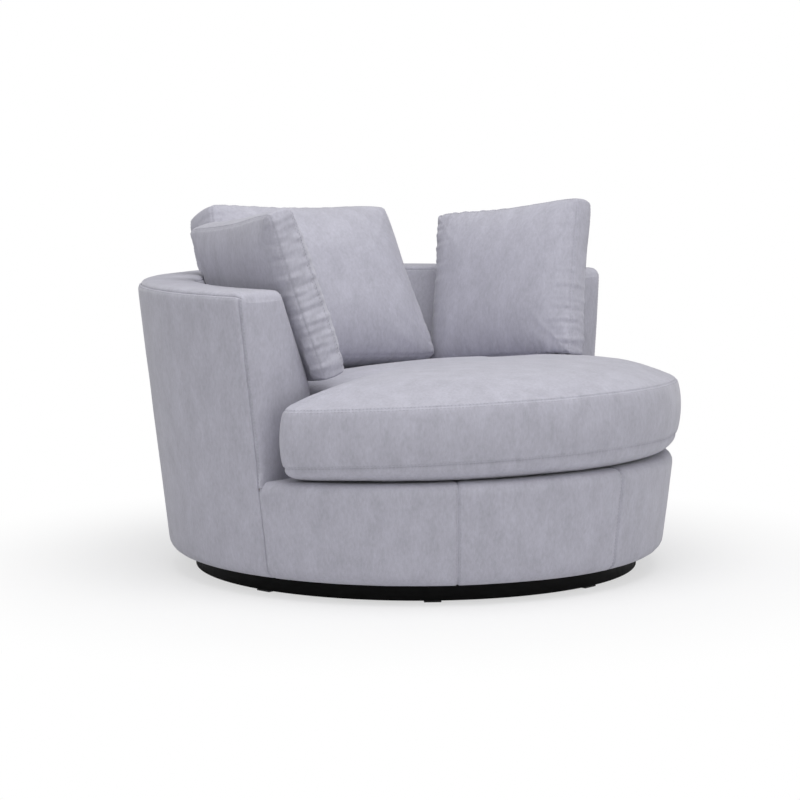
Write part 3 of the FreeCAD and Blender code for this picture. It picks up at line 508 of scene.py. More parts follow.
# %% [markdown]
# Below the seat four curved panels close the front of the base, from under the skirt up over
# the soft front rail. They are sewn to each other and to the outer covers by upright seams.

# %% Front panels
SEAM_ANGLES = [40.0, 0.0, -40.0]
PANEL_NAMES = ["front_panel_far_left", "front_panel_left", "front_panel_right",
               "front_panel_far_right"]
PANEL_ROWS = 44
PANEL_MARGIN = 0.04
BASE_MIDDLE = 200 * MM
BASE_SETBACK = ARM_SETBACK + 12 * MM


def panel_places():
    """Places from the right arm seam to the left one, close together near the seams."""
    full = math.pi - 2 * math.asin(BASE_SETBACK / outer_radius(BASE_MIDDLE))
    marks = [0] + [0.5 - math.radians(angle) / full for angle in SEAM_ANGLES] + [1]
    run = full * outer_radius(BASE_MIDDLE)
    lines, seams = [], [0]
    for start, end in zip(marks, marks[1:]):
        spaced = stations(start * run, end * run, GRID_PITCH) / run
        lines.append(spaced if not lines else spaced[1:])
        seams.append(seams[-1] + len(spaced) - 1)
    return np.concatenate(lines), seams, run


places_front, PANEL_SEAMS, front_run = panel_places()
panel_rows = []
panel_steps = np.linspace(0, 1, PANEL_ROWS + 1)
for place in places_front:
    angle = -math.pi * (PANEL_MARGIN + place * (1 - 2 * PANEL_MARGIN))
    profile = resample(front_outline(angle), panel_steps)
    start = np.arcsin((arm_front(profile[:, 1]) + SEAM_DROP) / profile[:, 0])
    panel_rows.append(polar(profile[:, 0], start - place * (math.pi + 2 * start), profile[:, 1]))
front = np.array(panel_rows)[::-1]
everywhere = np.ones(front.shape[1])
front = pull_seams(front, [((places_front - places_front[seam]) * front_run, everywhere)
                           for seam in PANEL_SEAMS], [])
for name, start, end in zip(PANEL_NAMES, PANEL_SEAMS, PANEL_SEAMS[1:]):
    panel = fitted(name, [front[start:end + 1]], (0, -3, 0.2))
    thicken(panel)
    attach(panel, "tub")
    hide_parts(name, "front_rail_pad")
print("front panels:", front.shape[:2])


# %% [markdown]
# The seat cushion is T-shaped: its ears reach in front of both arms. Its plan is made of arcs,
# and is resampled evenly, so that the same plan grown by a few millimetres has matching points.

# %% Plan of the seat cushion
SEAT_FRONT = outer_radius(RAIL_HEIGHT) + 7 * MM
SEAT_REAR = float(inner_radius(0)) - 17.3 * MM
SEAT_EAR = 108 * MM
EAR_ROUND = 40 * MM
NOTCH_ROUND = 18 * MM
SEAT_PITCH = math.radians(3.43)
DECK_PITCH = math.atan(RAIL_PITCH)
SEAT_SEAM = 274 * MM
SEAT_BORDER = 120 * MM
SEAT_CROWN = 57 * MM
SEAT_PUFF = 9 * MM
REAR_PRESS = 16 * MM
UNDER_GAP = 2 * MM
UNDER_SHARE = 0.88
SEAT_POINTS = 400


def arc(centre, radius, start, end, count):
    turn = np.linspace(math.radians(start), math.radians(end), count, endpoint=False)
    return np.stack([centre[0] + radius * np.cos(turn), centre[1] + radius * np.sin(turn)], -1)


def seat_plan(grow=0.0):
    """Plan of the cushion, evenly spaced, from the nose round by +X to the tail and back."""
    front, rear = SEAT_FRONT + grow, SEAT_REAR + grow
    ear_y = -SEAT_EAR + grow
    ear_round, notch_round = EAR_ROUND + grow, NOTCH_ROUND
    corner_y = ear_y - ear_round
    corner_x = math.sqrt((front - ear_round) ** 2 - corner_y ** 2)
    notch_y = ear_y + notch_round
    notch_x = math.sqrt((rear + notch_round) ** 2 - notch_y ** 2)
    corner_turn = math.degrees(math.atan2(corner_y, corner_x))
    notch_turn = math.degrees(math.atan2(notch_y, notch_x))
    half = np.concatenate([
        arc((0, 0), front, -90, corner_turn, 150),
        arc((corner_x, corner_y), ear_round, corner_turn, 90, 24),
        np.linspace([corner_x, ear_y], [notch_x, ear_y], 30, endpoint=False),
        arc((notch_x, notch_y), notch_round, -90, notch_turn - 180, 12),
        arc((0, 0), rear, notch_turn, 90, 150), [[0, rear]]])
    whole = np.concatenate([half, half[-2:0:-1] * [-1, 1]])
    closed = np.concatenate([whole, whole[:1]])
    return resample(closed, np.linspace(0, 1, SEAT_POINTS + 1))[:-1]


print("seat cushion, front to back:", round(SEAT_FRONT + SEAT_REAR, 3), "m")

# %% [markdown]
# It is a boxed cushion, so it has a top panel, a border and a bottom panel. Rings of points run
# from the middle of the bottom panel, up the border and in over the crowned top. The top is
# pressed down a little at the rear, where the back cushion stands on it.


# %% Rings of the seat cushion
def seat_ring(share, grow, pitch, level):
    """The plan shrunk to a share or grown, then tipped by a pitch and set at a level."""
    plan = seat_plan(grow)
    middle = np.array([0, -SEAT_EAR])
    plan = middle + (plan - middle) * share
    return np.stack([plan[:, 0], plan[:, 1] * math.cos(pitch),
                     level - plan[:, 1] * math.sin(pitch)], -1)


def seat_rings():
    """Rings of the cushion; also the numbers of the two rings that are seams."""
    rings = []
    under = RAIL_HEIGHT + UNDER_GAP
    for share in np.linspace(0.06, UNDER_SHARE, 12):
        rings.append(seat_ring(share, 0, DECK_PITCH, under))
    for step in np.linspace(0.15, 1, 6):
        lift = 1 - math.cos(step * math.pi / 2)
        share = UNDER_SHARE + (1 - UNDER_SHARE) * math.sin(step * math.pi / 2)
        pitch = DECK_PITCH + (SEAT_PITCH - DECK_PITCH) * lift
        rings.append(seat_ring(share, 0, pitch, under + (SEAT_SEAM - under) * lift))
    low_seam = len(rings) - 1
    heights = stations(0, SEAT_BORDER, 10 * MM, fine=(1.5, 3.5, 7))
    for height in heights[1:]:
        bulge = SEAT_PUFF * max(0, math.sin(math.pi * height / SEAT_BORDER)) ** 0.6
        rings.append(seat_ring(1, bulge, SEAT_PITCH, SEAT_SEAM + height))
    top_seam = len(rings) - 1
    shares = np.concatenate([[0.998, 0.994, 0.987, 0.975], np.linspace(0.96, 0.03, 34)])
    for share in shares:
        rise = SEAT_CROWN * (1 - share ** 2.6) ** 0.62
        pitch = SEAT_PITCH * (0.82 + 0.18 * share)
        rings.append(seat_ring(share, 0, pitch, SEAT_SEAM + SEAT_BORDER + rise))
    rings = np.array(rings)
    pressed_in = np.clip((rings[top_seam:, :, 1] + 0.06) / 0.32, 0, 1)
    pressed_in = pressed_in ** 2 * (3 - 2 * pressed_in)
    above = rings[top_seam:, :, 2] - (SEAT_SEAM + SEAT_BORDER
                                      - rings[top_seam:, :, 1] * math.tan(SEAT_PITCH))
    rings[top_seam:, :, 2] -= REAR_PRESS * pressed_in * np.clip(above / SEAT_CROWN, 0, 1)
    return rings, low_seam, top_seam


def closed_rings(name, rings):
    """A closed surface through rings of points, with strips across the first and the last."""
    count, around = rings.shape[:2]
    corner = np.arange(count * around).reshape(count, around)
    after = np.roll(corner, -1, axis=1)
    quads = np.stack([corner[:-1], after[:-1], after[1:], corner[1:]], -1).reshape(-1, 4)
    faces = quads.tolist()
    for ring in (corner[0][::-1], corner[-1]):
        for index in range(around // 2):
            strip = [ring[index], ring[index + 1], ring[around - index - 1], ring[-index]]
            faces.append(list(dict.fromkeys(int(item) for item in strip)))
    return new_object(name, rings, faces)


rings, SEAT_LOW, SEAT_TOP = seat_rings()
seat = closed_rings("sewn_seat_cushion", rings)
print("rings:", len(rings), "with seams at rings", SEAT_LOW, "and", SEAT_TOP)


# %% [markdown]
# Cloth simulation makes padded fabric: the mesh becomes cloth with air pressed into it, while
# its seams hold still. The swelling is capped, so that a cushion keeps its fitted size.

# %% Swell a cushion with the cloth simulation
SIM_FRAMES = 20
SEAT_PRESSURE = 3
SEAT_CAP = 9 * MM
CLOTH_SETTINGS = {
    "quality": 4, "mass": 0.25, "tension_stiffness": 12, "compression_stiffness": 8,
    "shear_stiffness": 4, "bending_stiffness": 0.4, "use_pressure": True,
    "vertex_group_mass": "held", "pin_stiffness": 1}


def swell(piece, held, pressure, cap):
    """Inflate a closed mesh; held is the share, from 0 to 1, by which each point is pinned."""
    before = read_points(piece)
    group = piece.vertex_groups.new(name="held")
    for index, share in enumerate(held):
        if share > 0:
            group.add([index], float(share), "REPLACE")
    cloth = piece.modifiers.new("cloth", "CLOTH")
    settings = cloth.settings
    for setting, value in CLOTH_SETTINGS.items():
        setattr(settings, setting, value)
    settings.uniform_pressure_force = pressure
    settings.effector_weights.gravity = 0
    cloth.collision_settings.use_collision = False
    scene = bpy.context.scene
    cloth.point_cache.frame_start = 1
    cloth.point_cache.frame_end = SIM_FRAMES
    for number in range(1, SIM_FRAMES + 1):
        scene.frame_set(number)
    apply_modifiers(piece)
    scene.frame_set(1)
    moved = read_points(piece) - before
    length = np.linalg.norm(moved, axis=1, keepdims=True)
    write_points(piece, before + moved * np.minimum(1, cap / np.maximum(length, 1e-9)))
    piece.vertex_groups.clear()
    print(piece.name, "swelled by up to", round(float(np.minimum(length, cap).max()), 4))


seat_held = np.zeros(len(seat.data.vertices))
seat_held[:(SEAT_LOW - 3) * SEAT_POINTS] = 1
for seam in (SEAT_LOW, SEAT_TOP):
    seat_held[seam * SEAT_POINTS:(seam + 1) * SEAT_POINTS] = 1
swell(seat, seat_held, SEAT_PRESSURE, SEAT_CAP)
seat_spots = read_points(seat)
print("seat crest:", round(float(seat_spots[:, 2].max()), 4))

# %% [markdown]
# Where two edges of cloth are sewn, the surface dips along a line and puckers across it. The
# dip is made on the finished mesh from the distance to the line; the puckers are short waves
# that run along the line and fade away from it.


# %% Seams and puckers on a cushion
LINE_PITCH = 2 * MM
PUCKER_WAVES = ((17, 0.5), (29, 0.8), (47, 0.7))


def add_subdivision(piece, levels=1):
    subdivide = piece.modifiers.new("smooth", "SUBSURF")
    subdivide.levels = levels
    apply_modifiers(piece)


def resampled_loop(points, pitch):
    closed = np.concatenate([points, points[:1]])
    length = lengths_along(closed)[-1]
    return resample(closed, np.linspace(0, 1, max(8, round(length / pitch)) + 1))[:-1]


def sew(piece, seams, depth=2.6 * MM, width=3.4 * MM, pucker=1.1 * MM, reach=26 * MM, seed=0):
    """Sink the surface along closed seams and gather the cloth beside them."""
    spots, normals = read_points(piece), read_points(piece, "normal")
    push = np.zeros(len(spots))
    for number, seam in enumerate(seams):
        away, nearest = nearest_line(resampled_loop(seam, LINE_PITCH), spots)
        run = nearest * LINE_PITCH
        push -= depth * np.exp(-(away / width) ** 1.5)
        waves = np.zeros(len(spots))
        for wave, strength in PUCKER_WAVES:
            shift = seed * 1.3 + number * 2.1 + wave
            waves += strength * np.sin(run * 2 * math.pi / (wave * MM) + shift
                                       + 2 * np.sin(run * 9 + shift))
        ramp = np.exp(-away / reach) * (1 - np.exp(-away / (4 * MM)))
        push += pucker * waves * ramp * (0.5 + 0.5 * np.sin(run * 7 + seed))
    push += 1.2 * MM * ripple(spots, 0.11, seed) + 0.5 * MM * ripple(spots, 0.045, seed + 3)
    write_points(piece, spots + normals * push[:, None])


def nearest_line(fine, spots):
    """Distance from each point to a line of points, and the nearest one's number."""
    tree = KDTree(len(fine))
    for index, spot in enumerate(fine):
        tree.insert(spot, index)
    tree.balance()
    found = [tree.find(spot) for spot in spots]
    return np.array([item[2] for item in found]), np.array([item[1] for item in found])


def tree_of(piece):
    """A search tree of a surface, for its nearest points and for rays."""
    return BVHTree.FromObject(piece, bpy.context.evaluated_depsgraph_get())


add_subdivision(seat)
seat_lines = [seat_spots[seam * SEAT_POINTS:(seam + 1) * SEAT_POINTS]
              for seam in (SEAT_LOW, SEAT_TOP)]
sew(seat, seat_lines, pucker=0.7 * MM, seed=4)
seat_tree = tree_of(seat)
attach(seat, "seat_cushion")
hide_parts("seat_cushion_cover", "seat_cushion_core")
print("seat cushion points:", len(seat.data.vertices))


# %% [markdown]
# The loose cushions are boxed too: a front and a back panel with drawn-in sides, and a border
# between them. Each is drawn flat and face up first.

# %% A boxed cushion
DRAW = 12 * MM
BORDER_PUFF = 5 * MM


def boxed(name, width, depth, border, front_crown, back_crown):
    """A boxed cushion in its own plane, with the numbers of its seam points."""
    across = int(round(width / GRID_PITCH / 2)) * 2
    along = int(round(depth / GRID_PITCH / 2)) * 2
    u, v = np.meshgrid(np.linspace(-1, 1, across + 1), np.linspace(-1, 1, along + 1))

    def panel(crown, level):
        corner = 1 - 0.045 * (np.abs(u) * np.abs(v)) ** 6
        x = (width / 2 - DRAW * (1 - v * v) * np.abs(u) ** 3) * u * corner
        y = (depth / 2 - DRAW * (1 - u * u) * np.abs(v) ** 3) * v * corner
        rise = ((1 - np.abs(u) ** 3.2) * (1 - np.abs(v) ** 3.2)) ** 0.5
        return np.stack([x, y, level + crown * rise], -1)

    top = panel(front_crown, border / 2)
    bottom = panel(-back_crown, -border / 2)
    corner = np.arange(u.size).reshape(u.shape)
    loop = np.concatenate([corner[0, :-1], corner[:-1, -1], corner[-1, :0:-1], corner[:0:-1, 0]])
    upper, lower = top.reshape(-1, 3)[loop], bottom.reshape(-1, 3)[loop]
    layers = max(3, int(round(border / GRID_PITCH)))
    middle = (upper.mean(0) + lower.mean(0)) / 2
    away = upper - middle
    away[:, 2] = 0
    away /= np.linalg.norm(away, axis=1, keepdims=True)
    strips = []
    for layer in range(1, layers):
        share = layer / layers
        strips.append(upper * (1 - share) + lower * share
                      + away * BORDER_PUFF * math.sin(share * math.pi))
    count = u.size
    points = np.concatenate([top.reshape(-1, 3), bottom.reshape(-1, 3)] + strips)
    quads = grid_faces(*u.shape)
    faces = [quads[:, ::-1], quads + count]
    rows = [loop] + [2 * count + layer * len(loop) + np.arange(len(loop))
                     for layer in range(layers - 1)] + [loop + count]
    for first, second in zip(rows, rows[1:]):
        faces.append(np.stack([first, second, np.roll(second, -1), np.roll(first, -1)], -1))
    piece = new_object(name, points, np.concatenate(faces).tolist())
    turn_faces(piece)
    return piece, loop, loop + count


BACK_SIZES = (574 * MM, 398 * MM, 92 * MM, 44 * MM, 16 * MM)
SCATTER_SIZES = (430 * MM, 380 * MM, 56 * MM, 34 * MM, 22 * MM)
print("back cushion and scatter cushions, widths:", BACK_SIZES[0], SCATTER_SIZES[0])

# %% [markdown]
# A cushion is stood up in its place, and then the wall, the seat and the cushion behind it
# press it into shape: every point that lies inside them is moved back out to their surface.


# %% Stand a cushion in its place
TUB_GAP = 3 * MM
CUSHION_GAP = 1.5 * MM
SEAT_TOP_LIMIT = 490 * MM


def standing(yaw, tilt, roll, centre):
    """Stand a cushion up facing the front, lean it back and turn it towards +X."""
    turn = Matrix.Rotation(math.radians(yaw), 4, "Z")
    lean = Matrix.Rotation(math.radians(-tilt), 4, "X")
    sway = Matrix.Rotation(math.radians(-roll), 4, "Y")
    stand = Matrix.Rotation(math.radians(90), 4, "X")
    return Matrix.Translation(Vector(centre)) @ turn @ lean @ sway @ stand


def keep_in_tub(spots):
    """Press points in from the wall, and over the rim where they lie beyond it."""
    radius = np.hypot(spots[:, 0], spots[:, 1])
    limit = inner_radius(spots[:, 2]) - TUB_GAP
    beyond = (spots[:, 2] < RIM_HEIGHT + 2 * MM) & (radius > limit) \
        & (spots[:, 1] > arm_front(spots[:, 2]) - 5 * MM)
    scale = np.where(beyond, limit / radius, 1)
    return np.stack([spots[:, 0] * scale, spots[:, 1] * scale, spots[:, 2]], -1)


def keep_above(tree, spots, gap=CUSHION_GAP):
    """Lift points that lie under the surface of the seat cushion."""
    lifted = spots.copy()
    for index, spot in enumerate(spots):
        if spot[2] < SEAT_TOP_LIMIT:
            place, _, _, _ = tree.ray_cast(Vector((spot[0], spot[1], 1)), Vector((0, 0, -1)))
            if place is not None and spot[2] < place.z + gap:
                lifted[index, 2] = place.z + gap
    return lifted


def keep_before(tree, way, spots, gap=CUSHION_GAP):
    """Move points out of another cushion, the way that cushion faces."""
    moved = spots.copy()
    for index, spot in enumerate(spots):
        place, normal, _, _ = tree.ray_cast(Vector(spot), way)
        if place is not None and normal.dot(way) > 0:
            moved[index] = place + way * gap
    return moved


print("a cushion keeps", TUB_GAP, "m from the wall and", CUSHION_GAP, "m from its neighbours")

# %% [markdown]
# The back cushion comes first, wider at its foot than at its top. Both scatter cushions lean on
# it and on the wall. Angles are yaw, tilt and roll in degrees, from a cushion that faces -Y.

# %% Make the loose cushions
LOOSE_PRESSURE = 4
SEAM_HOLD = 0.85


def loose_cushion(body, sizes, angles, centre, seed, cap, gather, behind=None, spread=0.0):
    """Swell, place, press and sew one cushion; gives it with its seam lines and its way."""
    piece, front_loop, back_loop = boxed("sewn_" + body, *sizes)
    flat = read_points(piece)
    flat[:, 0] *= 1 - spread * flat[:, 1] / sizes[1]
    write_points(piece, flat)
    held = np.zeros(len(piece.data.vertices))
    held[front_loop] = SEAM_HOLD
    held[back_loop] = SEAM_HOLD
    swell(piece, held, LOOSE_PRESSURE, cap)
    place = standing(*angles, centre)
    piece.data.transform(place)
    spots = keep_in_tub(read_points(piece))
    spots = keep_above(seat_tree, spots)
    if behind:
        spots = keep_before(*behind, spots)
    write_points(piece, spots)
    lines = [spots[front_loop], spots[back_loop]]
    add_subdivision(piece, 2)
    sew(piece, lines, 3.4 * MM, 2.8 * MM, gather, seed=seed)
    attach(piece, body)
    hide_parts(body + "_cover", body + "_filling")
    way = (place.to_3x3() @ Vector((0, 0, 1))).normalized()
    print(piece.name, "points:", len(piece.data.vertices))
    return piece, lines, way


back, back_lines, back_way = loose_cushion(
    "back_cushion", BACK_SIZES, angles=(-8, 24.5, -1.7), centre=(-0.002, 0.332, 0.606),
    seed=11, cap=12 * MM, gather=1.3 * MM, spread=0.14)
behind = (tree_of(back), back_way)
left, left_lines, _ = loose_cushion(
    "left_scatter", SCATTER_SIZES, angles=(72, 17, -7), centre=(-0.372, 0.110, 0.610),
    seed=23, cap=10 * MM, gather=2.2 * MM, behind=behind)
right, right_lines, _ = loose_cushion(
    "right_scatter", SCATTER_SIZES, angles=(-89, 14, 7), centre=(0.364, 0.025, 0.612),
    seed=37, cap=10 * MM, gather=1.8 * MM, behind=behind)


# %% [markdown]
# Topstitching holds the seams flat. Each stitch is a short bead of thread whose ends sink into
# the cloth; rows of them follow the seams at a few millimetres.

# %% Beads of thread
STITCH_PITCH = 7.5 * MM
STITCH_LENGTH = 5 * MM
THREAD = 0.55 * MM
BEAD_SIDES = 5
BEAD_RINGS = ((-0.5, -0.7, 0.5), (-0.25, 0.5, 1), (0.25, 0.5, 1), (0.5, -0.7, 0.5))
BEAD_POINTS = BEAD_SIDES * len(BEAD_RINGS)


def stitch_mesh(places, normals):
    """Beads of thread along a row of places on the cloth."""
    steps = lengths_along(places)
    count = int(steps[-1] / STITCH_PITCH)
    if count < 1:
        return np.zeros((0, 3)), np.zeros((0, 4), int)
    middles = (np.arange(count) + 0.5) * STITCH_PITCH
    spots = []
    for shift, lift, girth in BEAD_RINGS:
        at = middles + shift * STITCH_LENGTH
        centre = read_along(places, steps, at)
        up_way = read_along(normals, steps, at)
        along = read_along(places, steps, at + MM) - read_along(places, steps, at - MM)
        side_way = np.cross(along, up_way)
        side_way /= np.maximum(np.linalg.norm(side_way, axis=1, keepdims=True), 1e-12)
        for turn in range(BEAD_SIDES):
            angle = turn * 2 * math.pi / BEAD_SIDES
            spots.append(centre + up_way * THREAD * (lift + girth * math.cos(angle))
                         + side_way * THREAD * girth * math.sin(angle))
    points = np.stack(spots, 1).reshape(-1, 3)
    pattern = []
    for first in range(0, BEAD_POINTS - BEAD_SIDES, BEAD_SIDES):
        second = first + BEAD_SIDES
        for turn in range(BEAD_SIDES):
            after = (turn + 1) % BEAD_SIDES
            pattern.append([first + turn, first + after, second + after, second + turn])
    starts = np.arange(count) * BEAD_POINTS
    return points, (np.array(pattern)[None] + starts[:, None, None]).reshape(-1, 4)


def stitching(body, rows):
    """All rows of stitches on one body, as one piece."""
    points, faces, count = [], [], 0
    for row in rows:
        made, quads = stitch_mesh(*row)
        points.append(made)
        faces.append(quads + count)
        count += len(made)
    piece = new_object(body + "_stitching", np.concatenate(points), np.concatenate(faces).tolist())
    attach(piece, body)
    print(piece.name, "stitches:", count // BEAD_POINTS)


print("points in a bead:", BEAD_POINTS)

# %% [markdown]
# The rows on the tub are lines of its grids, a few lines beside each seam. Those on a cushion
# are its seam lines moved aside and dropped onto the finished surface.


# %% Rows of stitches
STITCH_OFFSET = 5 * MM


def grid_row(grid, rows, columns):
    normals = grid_normals(grid)
    return grid[rows, columns], normals[rows, columns]


seam_rows = slice(RIGHT_SEAM, LEFT_SEAM + 1)
tub_rows = [grid_row(wall, seam_rows, OUTER_LINE - 3), grid_row(wall, seam_rows, INNER_LINE + 3),
            grid_row(wall, slice(RIGHT_SEAM + 3, BACK_SEAM), OUTER_LINE - 2)]
for row in (RIGHT_SEAM - 2, RIGHT_SEAM - 3, LEFT_SEAM + 2, LEFT_SEAM + 3):
    tub_rows.append(grid_row(wall, row, slice(4, OUTER_LINE + 1)))
for row in (BACK_SEAM - 3, BACK_SEAM + 3):
    tub_rows.append(grid_row(wall, row, slice(0, OUTER_LINE + 1)))
front_normals = grid_normals(front)
for seam in PANEL_SEAMS[1:-1]:
    for row in (seam - 3, seam + 3):
        tub_rows.append((front[row], front_normals[row]))
stitching("tub", tub_rows)


def cushion_rows(piece, lines):
    """Rows of stitches on both sides of each seam, on the finished surface."""
    tree = tree_of(piece)
    rows = []
    for line, other in zip(lines, reversed(lines)):
        fine = resampled_loop(line, 6 * MM)
        inward = line.mean(0) - fine
        inward /= np.linalg.norm(inward, axis=1, keepdims=True)
        edge_way = other.mean(0) - line.mean(0)
        edge_way /= np.linalg.norm(edge_way)
        for way in (inward, np.broadcast_to(edge_way, fine.shape)):
            found = [tree.find_nearest(Vector(spot)) for spot in fine + way * STITCH_OFFSET]
            rows.append((np.array([item[0] for item in found]),
                         np.array([item[1] for item in found])))
    return rows


for piece, lines, body in ((seat, seat_lines, "seat_cushion"), (back, back_lines, "back_cushion"),
                           (left, left_lines, "left_scatter"), (right, right_lines, "right_scatter")):
    stitching(body, cushion_rows(piece, lines))


# %% [markdown]
# Materials are worked out from noise in the object's own space, so they hold at any distance.
# A small class wraps a shader value, so that the arithmetic reads as arithmetic.

# %% Shader arithmetic
class Value:
    """A number, colour or vector in a material; arithmetic on it adds Math nodes."""

    def __init__(self, tree, socket):
        self.tree = tree
        self.socket = socket

    def maths(self, operation, first, second):
        return node(self.tree, "ShaderNodeMath", {"operation": operation}, {0: first, 1: second})

    def __add__(self, other):
        return self.maths("ADD", self, other)

    def __sub__(self, other):
        return self.maths("SUBTRACT", self, other)

    def __mul__(self, other):
        return self.maths("MULTIPLY", self, other)

    def __rsub__(self, other):
        return self.maths("SUBTRACT", other, self)

    __radd__ = __add__
    __rmul__ = __mul__


def node(tree, kind, settings=None, inputs=None, output=0):
    """Add a node: its settings first, then its sockets' values or links."""
    made = tree.nodes.new(kind)
    for name, value in (settings or {}).items():
        setattr(made, name, value)
    for name, value in (inputs or {}).items():
        if isinstance(value, Value):
            tree.links.new(value.socket, made.inputs[name])
        else:
            made.inputs[name].default_value = value
    return Value(tree, made.outputs[output])


def mix_colours(tree, share, first, second):
    return node(tree, "ShaderNodeMix", {"data_type": "RGBA"}, {0: share, 6: first, 7: second}, 2)


def stretched_noise(tree, scale, stretch=(1, 1, 1), detail=3.0):
    """Noise from about 0.3 to 0.7 in the object's own space."""
    place = node(tree, "ShaderNodeTexCoord", output=3)
    place = node(tree, "ShaderNodeVectorMath", {"operation": "MULTIPLY"}, {0: place, 1: stretch})
    return node(tree, "ShaderNodeTexNoise", None,
                {"Vector": place, "Scale": scale, "Detail": detail, "Roughness": 0.6})


def finish(name, colour, roughness, metallic=0.0, **sockets):
    """A new material with its plain values set on the shader itself."""
    material = bpy.data.materials.new(name)
    material.use_nodes = True
    tree = material.node_tree
    shader = tree.nodes["Principled BSDF"]
    shader.inputs["Base Color"].default_value = (*colour, 1)
    shader.inputs["Roughness"].default_value = roughness
    shader.inputs["Metallic"].default_value = metallic
    for socket, value in sockets.items():
        shader.inputs[socket.replace("_", " ")].default_value = value
    material.diffuse_color = (*colour, 1)
    return material, tree, shader


def shade(tree, shader, share, dark, light):
    """Colour a shader between two tones."""
    colour = mix_colours(tree, share, (*dark, 1), (*light, 1))
    tree.links.new(colour.socket, shader.inputs["Base Color"])


def emboss(tree, shader, height, distance, strength=0.6):
    bump = node(tree, "ShaderNodeBump", None,
                {"Height": height, "Distance": distance, "Strength": strength})
    tree.links.new(bump.socket, shader.inputs["Normal"])


def scaled(colour, factor):
    return tuple(channel * factor for channel in colour)


print("the shader helpers are ready")

# %% [markdown]
# The upholstery is a brushed, suede-like cloth: its pile lies in soft patches that look lighter
# or darker, with faint streaks of the weave under it and a sheen at grazing angles.

# %% Fabric and thread
CLOTH_COLOUR = (0.468, 0.463, 0.530)


def brushed_cloth(name, colour):
    material, tree, shader = finish(name, colour, 0.92, Sheen_Weight=0.35, Sheen_Roughness=0.45,
                                    Specular_IOR_Level=0.2)
    patches = stretched_noise(tree, scale=26, stretch=(1, 1, 0.55))
    nap = stretched_noise(tree, scale=170, stretch=(1, 1, 0.5), detail=4)
    streaks = stretched_noise(tree, scale=620, stretch=(1, 1, 0.12), detail=2)
    pile = stretched_noise(tree, scale=1500, detail=2)
    share = (patches * 0.9 + nap * 0.9 + streaks * 0.5 + pile * 0.6) - 0.95
    shade(tree, shader, share, scaled(colour, 0.80), scaled(colour, 1.20))
    emboss(tree, shader, nap * 0.5 + streaks * 0.4 + pile * 0.4, 0.9 * MM, 0.5)
    return material


fabric = brushed_cloth("brushed cloth", CLOTH_COLOUR)
thread = brushed_cloth("sewing thread", scaled(CLOTH_COLOUR, 0.86))
print("cloth of the chair:", fabric.name, "sewn with", thread.name)

# %% [markdown]
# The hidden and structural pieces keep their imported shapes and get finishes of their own:
# painted plinth, plywood, fibreboard, foam, webbing, lining cloth, nylon and zinc-plated steel.

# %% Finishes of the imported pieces
def painted_black():
    material, tree, shader = finish("black satin paint", (0.006, 0.006, 0.006), 0.5,
                                    Specular_IOR_Level=0.08)
    worn = stretched_noise(tree, 34, (1, 1, 3), 6)
    shade(tree, shader, worn * 1.4 - 0.4, (0.003, 0.003, 0.003), (0.010, 0.010, 0.010))
    rough = stretched_noise(tree, 60)
    tree.links.new((rough * 0.3 + 0.3).socket, shader.inputs["Roughness"])
    emboss(tree, shader, stretched_noise(tree, 420), 0.3 * MM, 0.25)
    return material


def plywood():
    material, tree, shader = finish("birch plywood", (0.62, 0.46, 0.28), 0.6)
    grain = stretched_noise(tree, 22, (1, 14, 60), 6)
    shade(tree, shader, grain * 1.6 - 0.3, (0.42, 0.28, 0.15), (0.72, 0.56, 0.36))
    emboss(tree, shader, grain, 0.4 * MM, 0.3)
    return material


def pressed(name, dark, light, scale, roughness, stretch=(1, 1, 1), depth=0.6 * MM, metallic=0.0):
    """A plain finish: mottled between two tones, with a grain that shows in the light."""
    material, tree, shader = finish(name, light, roughness, metallic)
    grain = stretched_noise(tree, scale, stretch, 4)
    coarse = stretched_noise(tree, scale / 9)
    shade(tree, shader, grain * 1.1 + coarse * 0.8 - 0.45, dark, light)
    emboss(tree, shader, grain, depth, 0.5)
    return material


MATERIALS = {
    "fabric": fabric,
    "black_cloth": pressed("black lining", (0.010, 0.010, 0.011), (0.035, 0.035, 0.037), 900, 0.95),
    "webbing": pressed("webbing", (0.03, 0.03, 0.035), (0.12, 0.12, 0.13), 500, 0.85, (1, 1, 6)),
    "plywood": plywood(),
    "fibreboard": pressed("fibreboard", (0.24, 0.16, 0.09), (0.42, 0.30, 0.19), 300, 0.75),
    "foam": pressed("cut foam", (0.66, 0.62, 0.46), (0.84, 0.80, 0.64), 700, 0.95),
    "fibre_filling": pressed("fibre", (0.76, 0.76, 0.74), (0.92, 0.92, 0.90), 160, 1.0),
    "black_plinth": painted_black(),
    "nylon": pressed("nylon", (0.02, 0.02, 0.02), (0.06, 0.06, 0.06), 400, 0.45, depth=0.1 * MM),
    "steel": pressed("zinc plate", (0.42, 0.43, 0.45), (0.62, 0.63, 0.66), 260, 0.35,
                     metallic=1.0, depth=0.1 * MM),
}
SLOT_OF = {part["node"]: part["material_slot"] for part in frame["record"]["subparts"]}
print("finishes:", ", ".join(MATERIALS))

# %% [markdown]
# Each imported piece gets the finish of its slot, the new covers get the upholstery cloth, and
# the rows of stitches get the thread.


# %% Dress the pieces
def dress(piece, material):
    if not piece.data.materials:
        piece.data.materials.append(material)
    for slot in piece.material_slots:
        slot.material = material


for name, carried in frame["nodes"].items():
    dress(carried, MATERIALS[SLOT_OF[name]])
for piece in bpy.context.scene.objects:
    if piece.name.startswith("sewn_"):
        dress(piece, fabric)
    elif piece.name.endswith("_stitching"):
        dress(piece, thread)
print("materials:", len(bpy.data.materials))


# %% [markdown]
# The floor is pale and plain. With the distance from the chair it fades into the white
# background, but only as the camera sees it: for light and shadow it stays a floor.

